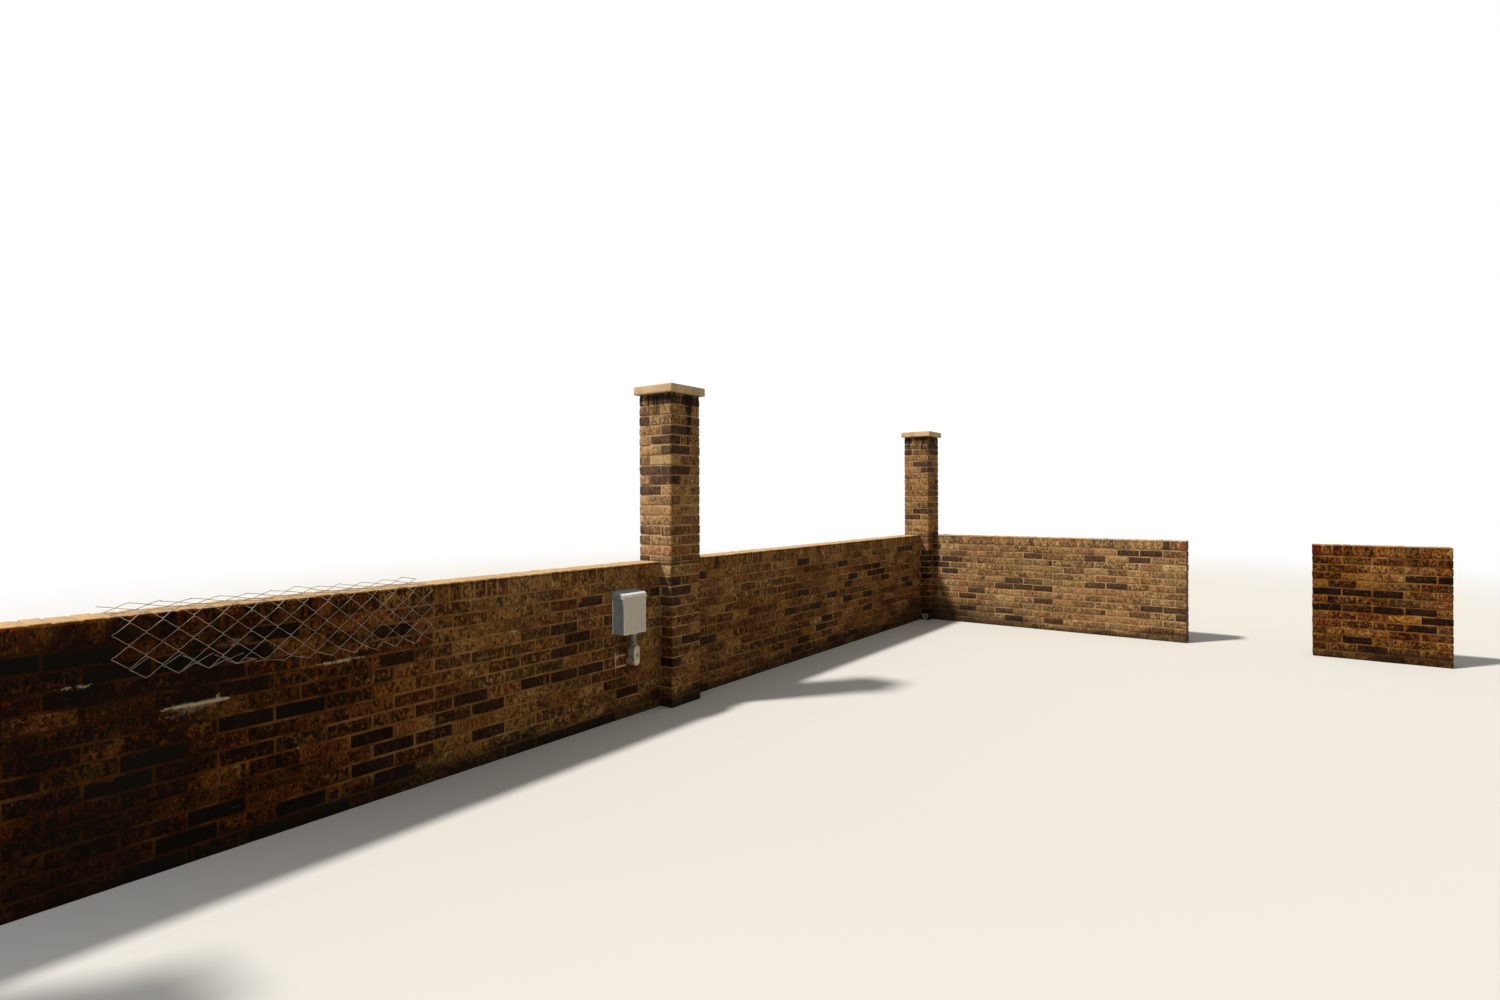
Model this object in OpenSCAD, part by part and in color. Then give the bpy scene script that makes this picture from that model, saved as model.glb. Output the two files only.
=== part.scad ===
// Brick garden wall that runs on in bays between capped brick piers.
// Two long bays meet a return wall at the corner pier. A clear opening parts the
// return wall from a short length in line with it.
// The origin is the centre of the corner pier's underside. The long bays run
// towards -X, the return runs towards -Y, and the front is the side of -Y and -X.

/* [Bricks] */
// Length of a brick, which is also the thickness of every wall
brick_l = 194; // [180:1:230]
// Width of a brick
brick_w = 92; // [80:1:110]
// Height of a brick
brick_h = 58; // [50:1:75]
// Mortar joint between bricks
joint = 10; // [6:1:15]
// Depth that the mortar lies back from the faces of the bricks
joint_rake = 4; // [1:0.5:8]

/* [Walls] */
// Courses of stretchers under the coping
wall_courses = 13; // [10:1:16]
// Bricks in the length of a long bay
bay_bricks = 20; // [16:1:24]
// Bricks in the length of the return wall
return_bricks = 12.5; // [4:0.5:18]
// Clear width of the opening past the return wall
opening_w = 960; // [700:10:1500]
// Bricks in the short length past the opening
house_side_bricks = 4.5; // [1.5:0.5:8]
// Mortar joint between the bricks on edge of the coping
coping_joint = 12; // [6:1:16]

/* [Piers] */
// Courses in a pier
pier_courses = 31; // [18:1:36]
// Overhang of a stone cap past the bricks
cap_overhang = 28; // [10:1:50]
// Thickness of a stone cap
cap_t = 57; // [40:1:90]
// Thickness of the mortar bed under a stone cap
cap_bed = 15; // [8:1:25]
// Chamfer round the top of a stone cap
cap_chamfer = 6; // [2:1:15]

/* [Drain pipe] */
// Outer diameter of the drain pipe
drain_od = 60.3; // [42:0.1:66]
// Wall thickness of the drain pipe
drain_wall = 3.9; // [2.4:0.1:6]
// Height of the middle of the pipe above the foot of the pier
drain_z = 40; // [38:1:70]
// Distance from the corner of the pier to the middle of the pipe
drain_in = 44; // [42:1:60]
// How far the pipe stands out of the pier at the front
drain_out = 6; // [0:1:30]
// Mortar gap round the pipe
drain_fit = 0.3; // [0.2:0.1:1]

/* [Electrical box] */
// Width of the box
box_w = 192; // [150:1:300]
// Height of the box
box_h = 268; // [180:1:400]
// Depth of the box from the wall
box_d = 98; // [94:1:140]
// Distance from the top of the wall down to the top of the box
box_drop = 158; // [110:1:260]
// Distance from the side of the box to the middle pier
box_to_pier = 246; // [100:1:900]
// Depth of the cover in front of the fixed tray
cover_d = 20; // [12:1:24]
// Height of the rain hood at the wall
hood_h = 48; // [36:1:80]
// Fall of the hood's top from the wall to its front ridge
hood_fall = 14; // [4:1:25]
// How far the front of the hood leans back from its foot to the ridge
hood_slant = 18; // [4:1:30]
// Sheet thickness of the cover and hood
sheet_t = 2; // [1:0.5:3]
// How far the foot of the hood stands out past the cover
hood_lip = 3; // [3:0.5:12]
// How far the tray and cover rise inside the hood
cover_rise = 10; // [4:1:20]

/* [Conduit] */
// Distance from the middle of the box to the conduit, towards the middle pier
conduit_shift = 36; // [0:1:50]
// Outer diameter of the conduit
conduit_od = 33.4; // [21:0.1:42]
// Length of conduit that shows between the box's hub and the elbow's collar
conduit_len = 50; // [20:1:110]
// Width of the conduit elbow
elbow_w = 50; // [44:1:64]
// Height of the conduit elbow's body
elbow_h = 130; // [100:1:180]
// How far the elbow's body stands past its collar, front and back
elbow_skin = 1; // [0.5:0.5:5]
// Distance that the hub under the box lies back from the front of the tray
hub_in = 5.6; // [2:0.1:15]
// Thickness of the elbow's cover plate
elbow_cover_t = 5; // [3:0.5:8]
// Thickness of the gasket under the cover plate
gasket_t = 1.5; // [1:0.5:3]
// Wall thickness of the hubs and the collar round the conduit
hub_wall = 6; // [4:0.5:9]
// Length of the hub under the box and of the elbow's collar
hub_l = 16; // [10:1:24]

/* [Wire mesh] */
// Width of a diamond of the mesh
diamond_w = 98; // [60:1:120]
// Height of a diamond of the mesh
diamond_h = 88; // [50:1:110]
// Thickness of the wire
wire_d = 3.5; // [2:0.5:4]
// Diamonds in the length of the mesh
mesh_diamonds = 12.5; // [4:0.5:16]
// Half diamonds that hang down the front
front_half_rows = 7; // [2:1:8]
// Half diamonds that lie across the coping
top_half_rows = 4; // [2:1:5]
// Distance from the near arris of the coping back to the first row of crossings
crossing_in = 8; // [5:1:20]
// Distance from the mesh to the middle pier
mesh_to_pier = 1655; // [1300:5:1900]

/* [Hidden] */
$fn = 48;

// Modules of the bond: a brick with one joint
stretcher = brick_l + joint;
course = brick_h + joint;

// Plan of the walls and piers
wall_t = brick_l;
pier_w = brick_l + joint + brick_w;
pier_out = pier_w - wall_t;
wall_front = -pier_w / 2 + pier_out;
bay_l = bay_bricks * stretcher + joint;
bay_pitch = bay_l + pier_w;
return_l = return_bricks * stretcher;
house_side_l = house_side_bricks * stretcher - joint;
near_bay_x = -pier_w / 2 - bay_pitch - bay_l;
far_bay_x = -pier_w / 2 - bay_l;
return_y = -pier_w / 2 - return_l;
house_side_y = return_y - opening_w - house_side_l;

// Heights
coping_z = wall_courses * course;
coping_h = brick_w;
wall_top = coping_z + coping_h;
foot_courses = 2;
bed_z = pier_courses * course - joint;
cap_z = bed_z + cap_bed;
bed_w = pier_w - 2 * joint_rake;
cap_w = pier_w + 2 * cap_overhang;

// Places along the near bay
middle_pier_left = -bay_pitch - pier_w / 2;
box_x = middle_pier_left - box_to_pier - box_w / 2;
mesh_l = mesh_diamonds * diamond_w;
mesh_x = middle_pier_left - mesh_to_pier - mesh_l;

// Electrical box and conduit, from the top down
box_top = wall_top - box_drop;
box_z = box_top - box_h;
box_outer_w = box_w + 2 * sheet_t;
tray_d = box_d - cover_d;
hood_front_d = box_d + hood_lip;
ridge_d = hood_front_d - hood_slant;
ridge_z = box_top - hood_fall;
hood_bottom = box_top - hood_h;
inner_top = hood_bottom + cover_rise;
rise_back = hood_slant * cover_rise / (ridge_z - hood_bottom);
cover_lap = 12;
hub_d = conduit_od + 2 * hub_wall;
elbow_d = hub_d + 2 * elbow_skin;
elbow_off = tray_d - hub_in - hub_d - elbow_skin;
conduit_x = box_x + conduit_shift;
conduit_y = wall_front - elbow_off - elbow_d / 2;
conduit_z = box_z - hub_l - conduit_len;
elbow_z = conduit_z - hub_l - elbow_h;
gasket_inset = 3;
cover_inset = 1.5;

// Margin by which a cutting shape passes the faces that it cuts
cut = 1;

// Colours of the finishes
brick_colour = "sienna";
coping_colour = "peru";
mortar_colour = "tan";
stone_colour = "lightgray";
box_colour = "slategray";
conduit_colour = "gainsboro";
gasket_colour = "dimgray";
wire_colour = "silver";

// Courses of brickwork from z = 0, on a core of mortar that lies back from their faces
module coursed(size_x, size_y, courses, core_h) {
    translate([joint_rake, joint_rake, 0])
        cube([size_x - 2 * joint_rake, size_y - 2 * joint_rake, core_h]);
    for (i = [0 : courses - 1])
        translate([0, 0, i * course]) cube([size_x, size_y, brick_h]);
}

// Bricks on edge side by side along X, one brick long across Y, with a joint
// of the given width left at each end
module brick_on_edge(length, first_joint, last_joint) {
    laid_l = length - first_joint - last_joint;
    count = round((laid_l + coping_joint) / (brick_h + coping_joint));
    pitch = (laid_l + coping_joint) / count;
    core_x = first_joint > 0 ? 0 : joint_rake;
    core_end = length - (last_joint > 0 ? 0 : joint_rake);
    translate([core_x, joint_rake, 0])
        cube([core_end - core_x, wall_t - 2 * joint_rake, coping_h - joint_rake]);
    for (i = [0 : count - 1])
        translate([first_joint + i * pitch, 0, 0]) cube([pitch - coping_joint, wall_t, coping_h]);
}

// Pier shaft over a number of courses, centred on its own axis
module pier_shaft(courses) {
    translate([-pier_w / 2, -pier_w / 2, 0])
        coursed(pier_w, pier_w, courses, courses * course - joint);
}

// Mortar bed between the top course of a pier and its cap
module pier_bed() {
    color(mortar_colour) translate([-bed_w / 2, -bed_w / 2, bed_z])
        cube([bed_w, bed_w, cap_bed]);
}

// Flat stone cap with chamfered top arrises
module pier_cap() {
    top_w = cap_w - 2 * cap_chamfer;
    color(stone_colour) translate([0, 0, cap_z]) hull() {
        translate([-cap_w / 2, -cap_w / 2, 0]) cube([cap_w, cap_w, cap_t - cap_chamfer]);
        translate([-top_w / 2, -top_w / 2, 0]) cube([top_w, top_w, cap_t]);
    }
}

// Whole pier as it stands along the long bays
module bay_pier(x) {
    color(brick_colour) translate([x, 0, 0]) pier_shaft(pier_courses);
}

module bay_wall(x) {
    color(brick_colour) translate([x, wall_front, 0])
        coursed(bay_l, wall_t, wall_courses, coping_z);
}

module bay_coping(x) {
    color(coping_colour) translate([x, wall_front, coping_z])
        brick_on_edge(bay_l, joint, joint);
}

// Walls that run along Y, from their end furthest from the corner pier
module cross_wall(y, length) {
    color(brick_colour) translate([wall_front, y, 0])
        coursed(wall_t, length, wall_courses, coping_z);
}

module cross_coping(y, length, last_joint) {
    color(coping_colour) translate([wall_front + wall_t, y, coping_z])
        rotate([0, 0, 90]) brick_on_edge(length, 0, last_joint);
}

// Line of the drain pipe along X, through the corner of the pier's foot
module on_drain_axis(x) {
    translate([x, -pier_w / 2 + drain_in, drain_z]) rotate([0, 90, 0]) children();
}

module corner_pier_foot() {
    color(brick_colour) difference() {
        translate([-pier_w / 2, -pier_w / 2, 0])
            cube([pier_w, pier_w, foot_courses * course - joint]);
        on_drain_axis(-pier_w / 2 - cut)
            cylinder(h = pier_w + 2 * cut, d = drain_od + 2 * drain_fit);
    }
}

module corner_pier() {
    foot_top = foot_courses * course - joint;
    color(brick_colour) {
        translate([-bed_w / 2, -bed_w / 2, foot_top]) cube([bed_w, bed_w, joint]);
        translate([0, 0, foot_courses * course]) pier_shaft(pier_courses - foot_courses);
    }
}

module drain_pipe() {
    length = pier_w + drain_out;
    color(conduit_colour) on_drain_axis(-pier_w / 2 - drain_out) difference() {
        cylinder(h = length, d = drain_od);
        translate([0, 0, -cut]) cylinder(h = length + 2 * cut, d = drain_od - 2 * drain_wall);
    }
}

// Outline in Y and Z pushed along X, centred on x, with Y measured out from the wall
module side_profile(x, width) {
    translate([x - width / 2, wall_front, 0]) rotate([90, 0, 90])
        linear_extrude(width) mirror([1, 0]) children();
}

// Shallow tray screwed to the wall
module box_tray() {
    color(box_colour) side_profile(box_x, box_w)
        translate([0, box_z]) square([tray_d, inner_top - box_z]);
}

// Plain front cover that rises inside the hood and laps over the sides of the tray
module box_cover() {
    color(box_colour) {
        side_profile(box_x, box_w) polygon([
            [tray_d, box_z], [box_d, box_z], [box_d, hood_bottom],
            [box_d - rise_back, inner_top], [tray_d, inner_top]
        ]);
        side_profile(box_x, box_outer_w)
            translate([tray_d, box_z]) square([cover_d, hood_bottom - box_z]);
        for (side = [-1, 1])
            side_profile(box_x + side * (box_w + sheet_t) / 2, sheet_t)
                translate([tray_d - cover_lap, box_z])
                square([cover_d + cover_lap, hood_bottom - box_z]);
    }
}

// Rain hood: a top that falls to a ridge, a front that leans back and two cheeks
module box_hood() {
    color(box_colour) {
        side_profile(box_x, box_outer_w) polygon([
            [0, box_top - sheet_t], [0, box_top], [ridge_d, ridge_z],
            [hood_front_d, hood_bottom], [hood_front_d - sheet_t, hood_bottom],
            [ridge_d - sheet_t, ridge_z - sheet_t]
        ]);
        for (side = [-1, 1])
            side_profile(box_x + side * (box_w + sheet_t) / 2, sheet_t) polygon([
                [0, hood_bottom], [0, box_top], [ridge_d, ridge_z], [hood_front_d, hood_bottom]
            ]);
    }
}

// Hub under the box that the conduit enters
module box_hub() {
    color(box_colour) translate([conduit_x, conduit_y, box_z - hub_l])
        cylinder(h = hub_l, d = hub_d);
}

module conduit() {
    color(conduit_colour) translate([conduit_x, conduit_y, conduit_z])
        cylinder(h = conduit_len, d = conduit_od);
}

// Oblong with round ends, the plan of the elbow's front
module oblong(width, height) {
    for (z = [width / 2, height - width / 2]) translate([0, z]) circle(d = width);
    translate([-width / 2, width / 2]) square([width, height - width]);
}

// Slab of the elbow's oblong plan between two distances out from the wall
module elbow_slab(from_wall, thickness, inset) {
    translate([conduit_x, wall_front - from_wall, elbow_z + inset]) rotate([90, 0, 0])
        linear_extrude(thickness) oblong(elbow_w - 2 * inset, elbow_h - 2 * inset);
}

// Conduit elbow: an oblong body with a collar on top and a flat front
module conduit_elbow() {
    color(conduit_colour) {
        elbow_slab(elbow_off, elbow_d, 0);
        translate([conduit_x, conduit_y, conduit_z - hub_l - elbow_w / 2])
            cylinder(h = hub_l + elbow_w / 2, d = hub_d);
    }
}

// Rear hub that carries the elbow off the wall
module elbow_hub() {
    color(conduit_colour)
        translate([conduit_x, wall_front - elbow_off, elbow_z + elbow_w / 2])
        rotate([-90, 0, 0]) cylinder(h = elbow_off, d = hub_d);
}

module elbow_gasket() {
    color(gasket_colour) elbow_slab(elbow_off + elbow_d, gasket_t, gasket_inset);
}

module elbow_cover() {
    color(conduit_colour)
        elbow_slab(elbow_off + elbow_d + gasket_t, elbow_cover_t, cover_inset);
}

// Flat lattice of diamonds from one height to another, its bars fused where they
// cross, with a row of crossings at the given height
module lattice(first_y, last_y, crossing_y) {
    lean = atan2(diamond_h, diamond_w);
    tip = wire_d / 2;
    start = (first_y - wire_d - crossing_y) / sin(lean);
    bar_l = (last_y - first_y + 3 * wire_d) / sin(lean);
    reach = ceil((last_y - crossing_y) / diamond_h);
    linear_extrude(wire_d) intersection() {
        translate([-tip, first_y]) square([mesh_l + 2 * tip, last_y + tip - first_y]);
        for (k = [-reach : mesh_diamonds + reach], turn = [lean, 180 - lean])
            translate([k * diamond_w, crossing_y]) rotate(turn)
                translate([start, -wire_d / 2]) square([bar_l, wire_d]);
    }
}

// Mesh that hangs down the front of the near bay
module wire_mesh_front() {
    drop = front_half_rows * diamond_h / 2 - crossing_in;
    color(wire_colour) translate([mesh_x, wall_front, wall_top])
        rotate([-90, 0, 0]) mirror([0, 0, 1]) lattice(0, drop, -crossing_in);
}

// Mesh that lies across the coping, nearly to its far edge
module wire_mesh_top() {
    back = top_half_rows * diamond_h / 2 + crossing_in;
    color(wire_colour) translate([mesh_x, wall_front, wall_top])
        lattice(-wire_d, back, crossing_in);
}

bay_pier(-2 * bay_pitch);  // end_pier
translate([-2 * bay_pitch, 0, 0]) pier_bed();  // end_pier_bed
translate([-2 * bay_pitch, 0, 0]) pier_cap();  // end_pier_cap
bay_wall(near_bay_x);  // near_bay_wall
bay_coping(near_bay_x);  // near_bay_coping
bay_pier(-bay_pitch);  // middle_pier
translate([-bay_pitch, 0, 0]) pier_bed();  // middle_pier_bed
translate([-bay_pitch, 0, 0]) pier_cap();  // middle_pier_cap
bay_wall(far_bay_x);  // far_bay_wall
bay_coping(far_bay_x);  // far_bay_coping
corner_pier_foot();
corner_pier();
pier_bed();  // corner_pier_bed
pier_cap();  // corner_pier_cap
cross_wall(return_y, return_l);  // return_wall
cross_coping(return_y, return_l, joint);  // return_coping
cross_wall(house_side_y, house_side_l);  // house_side_wall
cross_coping(house_side_y, house_side_l, 0);  // house_side_coping
drain_pipe();
box_tray();
box_cover();
box_hood();
box_hub();
conduit();
conduit_elbow();
elbow_hub();
elbow_gasket();
elbow_cover();
wire_mesh_front();
wire_mesh_top();
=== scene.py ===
"""Looks of a brick garden wall: bricks, mortar, stone caps, a rain-tight box with its conduit,
a drain pipe and a strip of woven wire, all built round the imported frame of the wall."""

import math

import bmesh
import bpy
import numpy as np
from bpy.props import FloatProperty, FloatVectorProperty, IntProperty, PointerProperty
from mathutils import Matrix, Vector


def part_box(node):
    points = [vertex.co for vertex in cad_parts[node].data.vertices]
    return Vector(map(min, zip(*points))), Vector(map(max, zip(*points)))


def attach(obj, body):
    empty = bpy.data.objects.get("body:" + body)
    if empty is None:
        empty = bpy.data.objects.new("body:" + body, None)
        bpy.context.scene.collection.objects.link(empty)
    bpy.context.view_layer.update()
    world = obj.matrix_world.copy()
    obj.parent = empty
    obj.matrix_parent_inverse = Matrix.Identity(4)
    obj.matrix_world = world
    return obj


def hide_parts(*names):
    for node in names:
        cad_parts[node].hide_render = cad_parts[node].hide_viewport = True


bl_info = {
    "name": "Brick Garden Wall",
    "version": (1, 0, 0),
    "blender": (4, 5, 0),
    "location": "View3D > Sidebar > Garden Wall",
    "description": "Lays the bricks of a garden wall round its frame and finishes every surface",
    "category": "Object",
}

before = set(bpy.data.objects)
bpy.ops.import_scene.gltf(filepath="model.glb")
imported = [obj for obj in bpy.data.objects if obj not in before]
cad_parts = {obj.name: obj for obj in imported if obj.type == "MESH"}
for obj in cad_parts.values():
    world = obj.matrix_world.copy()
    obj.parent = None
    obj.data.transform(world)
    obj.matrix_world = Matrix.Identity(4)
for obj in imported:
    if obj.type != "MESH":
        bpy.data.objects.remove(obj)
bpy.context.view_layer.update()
BODY = "root"
PIERS = ("end_pier", "middle_pier", "corner_pier")
QUARTER_TURN = math.radians(90)


def shade(red, green, blue):
    """Linear colour of a shade written in steps from 0 to 255."""
    steps = [value / 255 for value in (red, green, blue)]
    return tuple(s / 12.92 if s <= 0.04045 else ((s + 0.055) / 1.055) ** 2.4 for s in steps)


def darker(tone, part):
    """A part of a colour's light."""
    return tuple(part * value for value in tone)


def middle_of(node):
    """Middle of a node's box."""
    return [(low + high) / 2 for low, high in zip(*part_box(node))]


# Settings


def length(name, description, default):
    return FloatProperty(name=name, description=description, default=default, unit="LENGTH", precision=4)


def colour(name, description, *steps):
    return FloatVectorProperty(
        name=name, description=description, default=shade(*steps), size=3, min=0, max=1, subtype="COLOR"
    )


def share(name, description, default):
    return FloatProperty(name=name, description=description, default=default, min=0, max=1, subtype="FACTOR")


def angle(name, description, degrees):
    return FloatProperty(name=name, description=description, default=math.radians(degrees), subtype="ANGLE")


class BrickSizes(bpy.types.PropertyGroup):
    """Sizes of a brick, of its joints and of how far it strays from true."""

    long: length("Length", "Length of a brick", 0.194)
    wide: length("Width", "Width of a brick", 0.092)
    high: length("Height", "Height of a brick", 0.058)
    joint: length("Joint", "Mortar joint between bricks", 0.010)
    coping_joint: length("Coping joint", "Least mortar joint between bricks on edge", 0.012)
    rake: length("Rake", "Depth that the mortar lies back from the bricks", 0.0035)
    arris: length("Arris", "Radius of a worn arris", 0.0024)
    relief: length("Relief", "Depth of the hollows in a face", 0.0016)
    stray: length("Stray", "How far a brick lies off its place", 0.0009)
    chip: length("Chip", "Greatest depth of a chipped corner", 0.007)
    chipped: share("Chipped", "Share of the bricks with a chipped corner", 0.5)
    flashed: share("Flashed", "Share of the bricks that are burnt dark", 0.14)
    pier_flashed: share("Piers flashed", "Share of the pier bricks that are burnt dark", 0.18)
    coping_flashed: share("Coping flashed", "Share of the coping bricks that are burnt dark", 0.015)

    @property
    def rise(self):
        """Height of a course with its joint."""
        return self.high + self.joint


class BrickColours(bpy.types.PropertyGroup):
    """Colours of the fired clay and of what weathers it."""

    tan: colour("Tan", "Tan bricks", 192, 154, 104)
    orange: colour("Orange", "Orange-brown bricks", 172, 120, 72)
    rose: colour("Rose", "Rose-brown bricks", 154, 108, 78)
    brown: colour("Brown", "Mid brown bricks", 126, 94, 61)
    umber: colour("Umber", "Dark brown bricks and patches", 78, 56, 36)
    buff: colour("Buff", "Pale buff bricks", 206, 174, 122)
    red: colour("Red", "Plain red bricks at free ends", 132, 58, 34)
    flash: colour("Flash", "Burnt face of a flashed brick", 92, 69, 55)
    drag: colour("Drag", "Pale drag marks", 224, 194, 146)
    fleck: colour("Fleck", "Dark flecks", 58, 32, 22)
    maroon: colour("Maroon", "Dark red patches", 118, 58, 42)
    olive: colour("Olive", "Dull olive patches", 150, 128, 78)
    mortar: colour("Mortar", "Mortar", 198, 165, 122)
    soil_and_shade: colour("Soil", "Dirt near the foot and under the caps", 30, 25, 18)
    bloom: colour("Bloom", "Pale salts", 204, 182, 150)
    # Colour that the tops of the copings turn paler to
    pale_top: colour("Bleach", "Sun-bleached tops", 205, 172, 128)
    # Tint of damp and of painted shade
    damp_and_shade: colour("Damp", "Tint that damp lays over the brickwork", 252, 252, 244)


class StoneSettings(bpy.types.PropertyGroup):
    """Sizes and colours of the stone caps."""

    arris: length("Arris", "Radius of the arrises of a cap", 0.005)
    relief: length("Relief", "Depth of the hollows in a cap", 0.0012)
    bite: length("Bite", "Greatest depth of the bites out of a cap's arrises", 0.006)
    stone: colour("Stone", "Face of a cap", 197, 166, 128)
    pale: colour("Pale stone", "Scrubbed patches of a cap", 214, 182, 140)
    stain: colour("Stain", "Dark stains on a cap", 104, 88, 66)


class FittingSettings(bpy.types.PropertyGroup):
    """Sizes and colours of the box, conduit and drain pipe."""

    fold: length("Fold", "Radius of a folded sheet edge", 0.0016)
    hem: length("Hem", "Width of the hem round the cover", 0.007)
    hem_proud: length("Hem proud", "How far the hem stands out", 0.0014)
    flange: length("Flange", "How far the back plate shows at each side of the box", 0.006)
    screw: length("Screw", "Diameter of a screw head", 0.0075)
    # Height of a dark strip of painted shade under the hood's cheeks
    seam: length("Seam", "Height of the sealant under the hood's cheeks", 0.004)
    plug: length("Plug", "Half width of the plug in the elbow's cover", 0.0075)
    paint: colour("Paint", "Grey paint of the box", 150, 160, 168)
    # Paler paint of faded patches, and of the box's front, which is painted paler as lit
    faded_and_lit_paint: colour("Chalk", "Chalked and faded paint", 207, 196, 176)
    sheet: length("Sheet", "Thickness of the hood's sheet", 0.0014)
    hood_side: length("Hood side", "How far the hood hangs over each side of the box", 0.005)
    hood_reach: length("Hood reach", "How far the hood's front edge comes past its ridge", 0.011)
    brow_back: length("Brow back", "How far the hood's bare brow starts behind its ridge", 0.004)
    brow_drop: length("Brow drop", "How far the hood's front edge hangs below its ridge", 0.009)
    lip: length("Lip", "Height of the lip along the hood's ridge", 0.011)
    lip_edge: length("Lip edge", "Width of the lip down the hood's cheeks", 0.003)
    lip_proud: length("Lip proud", "How far the lip stands out", 0.0016)
    # Near white of the hood's brow and lip, a painted highlight of sunlight
    sunlit: colour("Bare lip", "Bare bright metal and paint of the lip", 246, 243, 236)
    # Pale paint at the hems, also a painted highlight on the back plate's edges
    edge: colour("Edge", "Paint worn pale at hems and edges", 232, 224, 206)
    rust: colour("Rust", "Rust at edges and screws", 112, 62, 34)
    grime: colour("Grime", "Dirt in corners", 70, 62, 50)
    plastic: colour("Plastic", "Weathered plastic of the conduit", 160, 154, 136)
    # Cream of the elbow's cover, partly its own yellowed colour and partly raised paler to stand for the
    # sunlight it catches
    plate: colour("Plate", "Yellowed plastic of the elbow's cover", 238, 224, 186)
    moss: colour("Moss", "Green-black growth on the fittings", 40, 42, 30)
    pipe: colour("Pipe", "Drain pipe", 214, 210, 196)
    rubber: colour("Rubber", "Gasket", 38, 38, 36)
    steel: colour("Steel", "Screws", 150, 148, 142)


class WireSettings(bpy.types.PropertyGroup):
    """Sizes and colours of the woven wire."""

    wires: IntProperty(name="Wires", description="Wires in the length", default=25, min=1)
    rise: length("Rise", "Height of half a diamond", 0.043)
    thick: length("Wire", "Thickness of the wire", 0.0027)
    lift: length("Lift", "How far the wire stands off the wall at its hem", 0.012)
    spring: length("Spring", "How far the wire springs up at its far edge", 0.018)
    zinc: colour("Zinc", "Weathered zinc", 160, 150, 134)
    dull: colour("Dull zinc", "Dull and dirty zinc", 118, 102, 82)


class StageSettings(bpy.types.PropertyGroup):
    """Light, floor and camera."""

    key: FloatProperty(name="Key", description="Strength of the high soft key", default=4.2)
    key_spread: angle("Key spread", "Angle that the key covers", 5)
    fill: FloatProperty(name="Fill", description="Strength of the even light all round", default=0.36)
    floor: colour("Floor", "Pale floor as it shows", 206, 202, 194)
    floor_bounce: colour("Floor bounce", "Floor as it lights the wall", 150, 143, 128)
    lens: FloatProperty(name="Lens", description="Focal length", default=17.707, unit="CAMERA")
    heading: angle("Heading", "Camera heading from +X", 35.95)
    pitch: angle("Pitch", "Camera pitch", -0.011)
    roll: angle("Roll", "Camera roll", -0.221)
    place: FloatVectorProperty(
        name="Camera place", description="Where the camera stands", default=(-8.2128, -3.4633, 1.3895),
        size=3, subtype="TRANSLATION",
    )


# Lattice noise for shapes


# Primes that scatter the values of the lattice, and how far apart the lattices of two seeds are
SCATTER = (73856093, 19349663, 83492791)
SEED_SHIFT = 17.37


def soft_noise(points, size, seed):
    """Smooth values from 0 to 1 that change over about the given size."""
    spot = points / size + seed * SEED_SHIFT
    cell = np.floor(spot).astype(np.int64)
    part = spot - cell
    part = part * part * (3 - 2 * part)
    total = np.zeros(points.shape[:-1])
    for corner in range(8):
        step = np.array([(corner >> axis) & 1 for axis in range(3)])
        key = ((cell + step) * np.array(SCATTER)).sum(-1)
        key = ((key ^ (key >> 13)) & 0x7FFFFFFF) * 1274126177
        value = ((key ^ (key >> 16)) & 65535) / 65535.0
        total += value * np.prod(np.where(step, part, 1 - part), axis=-1)
    return total


def layered_noise(points, layers):
    """Sum of noises, each with its size, seed and strength."""
    return sum(soft_noise(points, size, seed) * strength for size, seed, strength in layers)


def smooth_step(low, high, value):
    """0 below a low mark, 1 above a high one, and smooth between them."""
    part = np.clip((value - low) / (high - low), 0, 1)
    return part * part * (3 - 2 * part)


# Mesh building


def box_shell(cuts, fan_back=False):
    """Points and faces of a closed box whose sides are cut at the given places along each axis.

    With fan_back the side at the far end of Y, which mortar hides, is one fan.
    """
    counts = [len(c) for c in cuts]
    grid = np.stack(np.meshgrid(*map(np.arange, counts), indexing="ij"), -1).reshape(-1, 3)
    last = np.array(counts) - 1
    outer = ((grid == 0) | (grid == last)).any(1)
    if fan_back:
        inside = (grid[:, [0, 2]] > 0) & (grid[:, [0, 2]] < last[[0, 2]])
        outer &= ~((grid[:, 1] == last[1]) & inside.all(1))
    kept = grid[outer]
    number = -np.ones(counts, int)
    number[tuple(kept.T)] = np.arange(len(kept))
    points = np.stack([np.asarray(cuts[axis], float)[kept[:, axis]] for axis in range(3)], -1)
    quads = []
    for axis in range(3):
        for end in (0, last[axis]):
            if fan_back and axis == 1 and end:
                continue
            side = number.take(end, axis=axis)
            if axis == 1:
                side = side.T
            ring = [side[:-1, :-1], side[1:, :-1], side[1:, 1:], side[:-1, 1:]]
            if not end:
                ring.reverse()
            quads.append(np.stack([r.ravel() for r in ring], -1))
    tris = np.zeros((0, 3), int)
    if fan_back:
        side = number.take(last[1], axis=1)
        rim = np.concatenate([side[:-1, 0], side[-1, :-1], side[:0:-1, -1], side[0, :0:-1]])
        middle = [sum(cuts[0][:: last[0]]) / 2, cuts[1][-1], sum(cuts[2][:: last[2]]) / 2]
        points = np.vstack([points, middle])
        tris = np.stack([np.roll(rim, -1), rim, np.full(len(rim), len(points) - 1)], -1)
    return points, np.concatenate(quads), tris


def rim_cuts(size, rim, inner):
    """Places of cuts from 0 to size: the ends, one a rim in from each, and some between."""
    return [0.0, *np.linspace(rim, size - rim, inner + 1), size]


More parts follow.
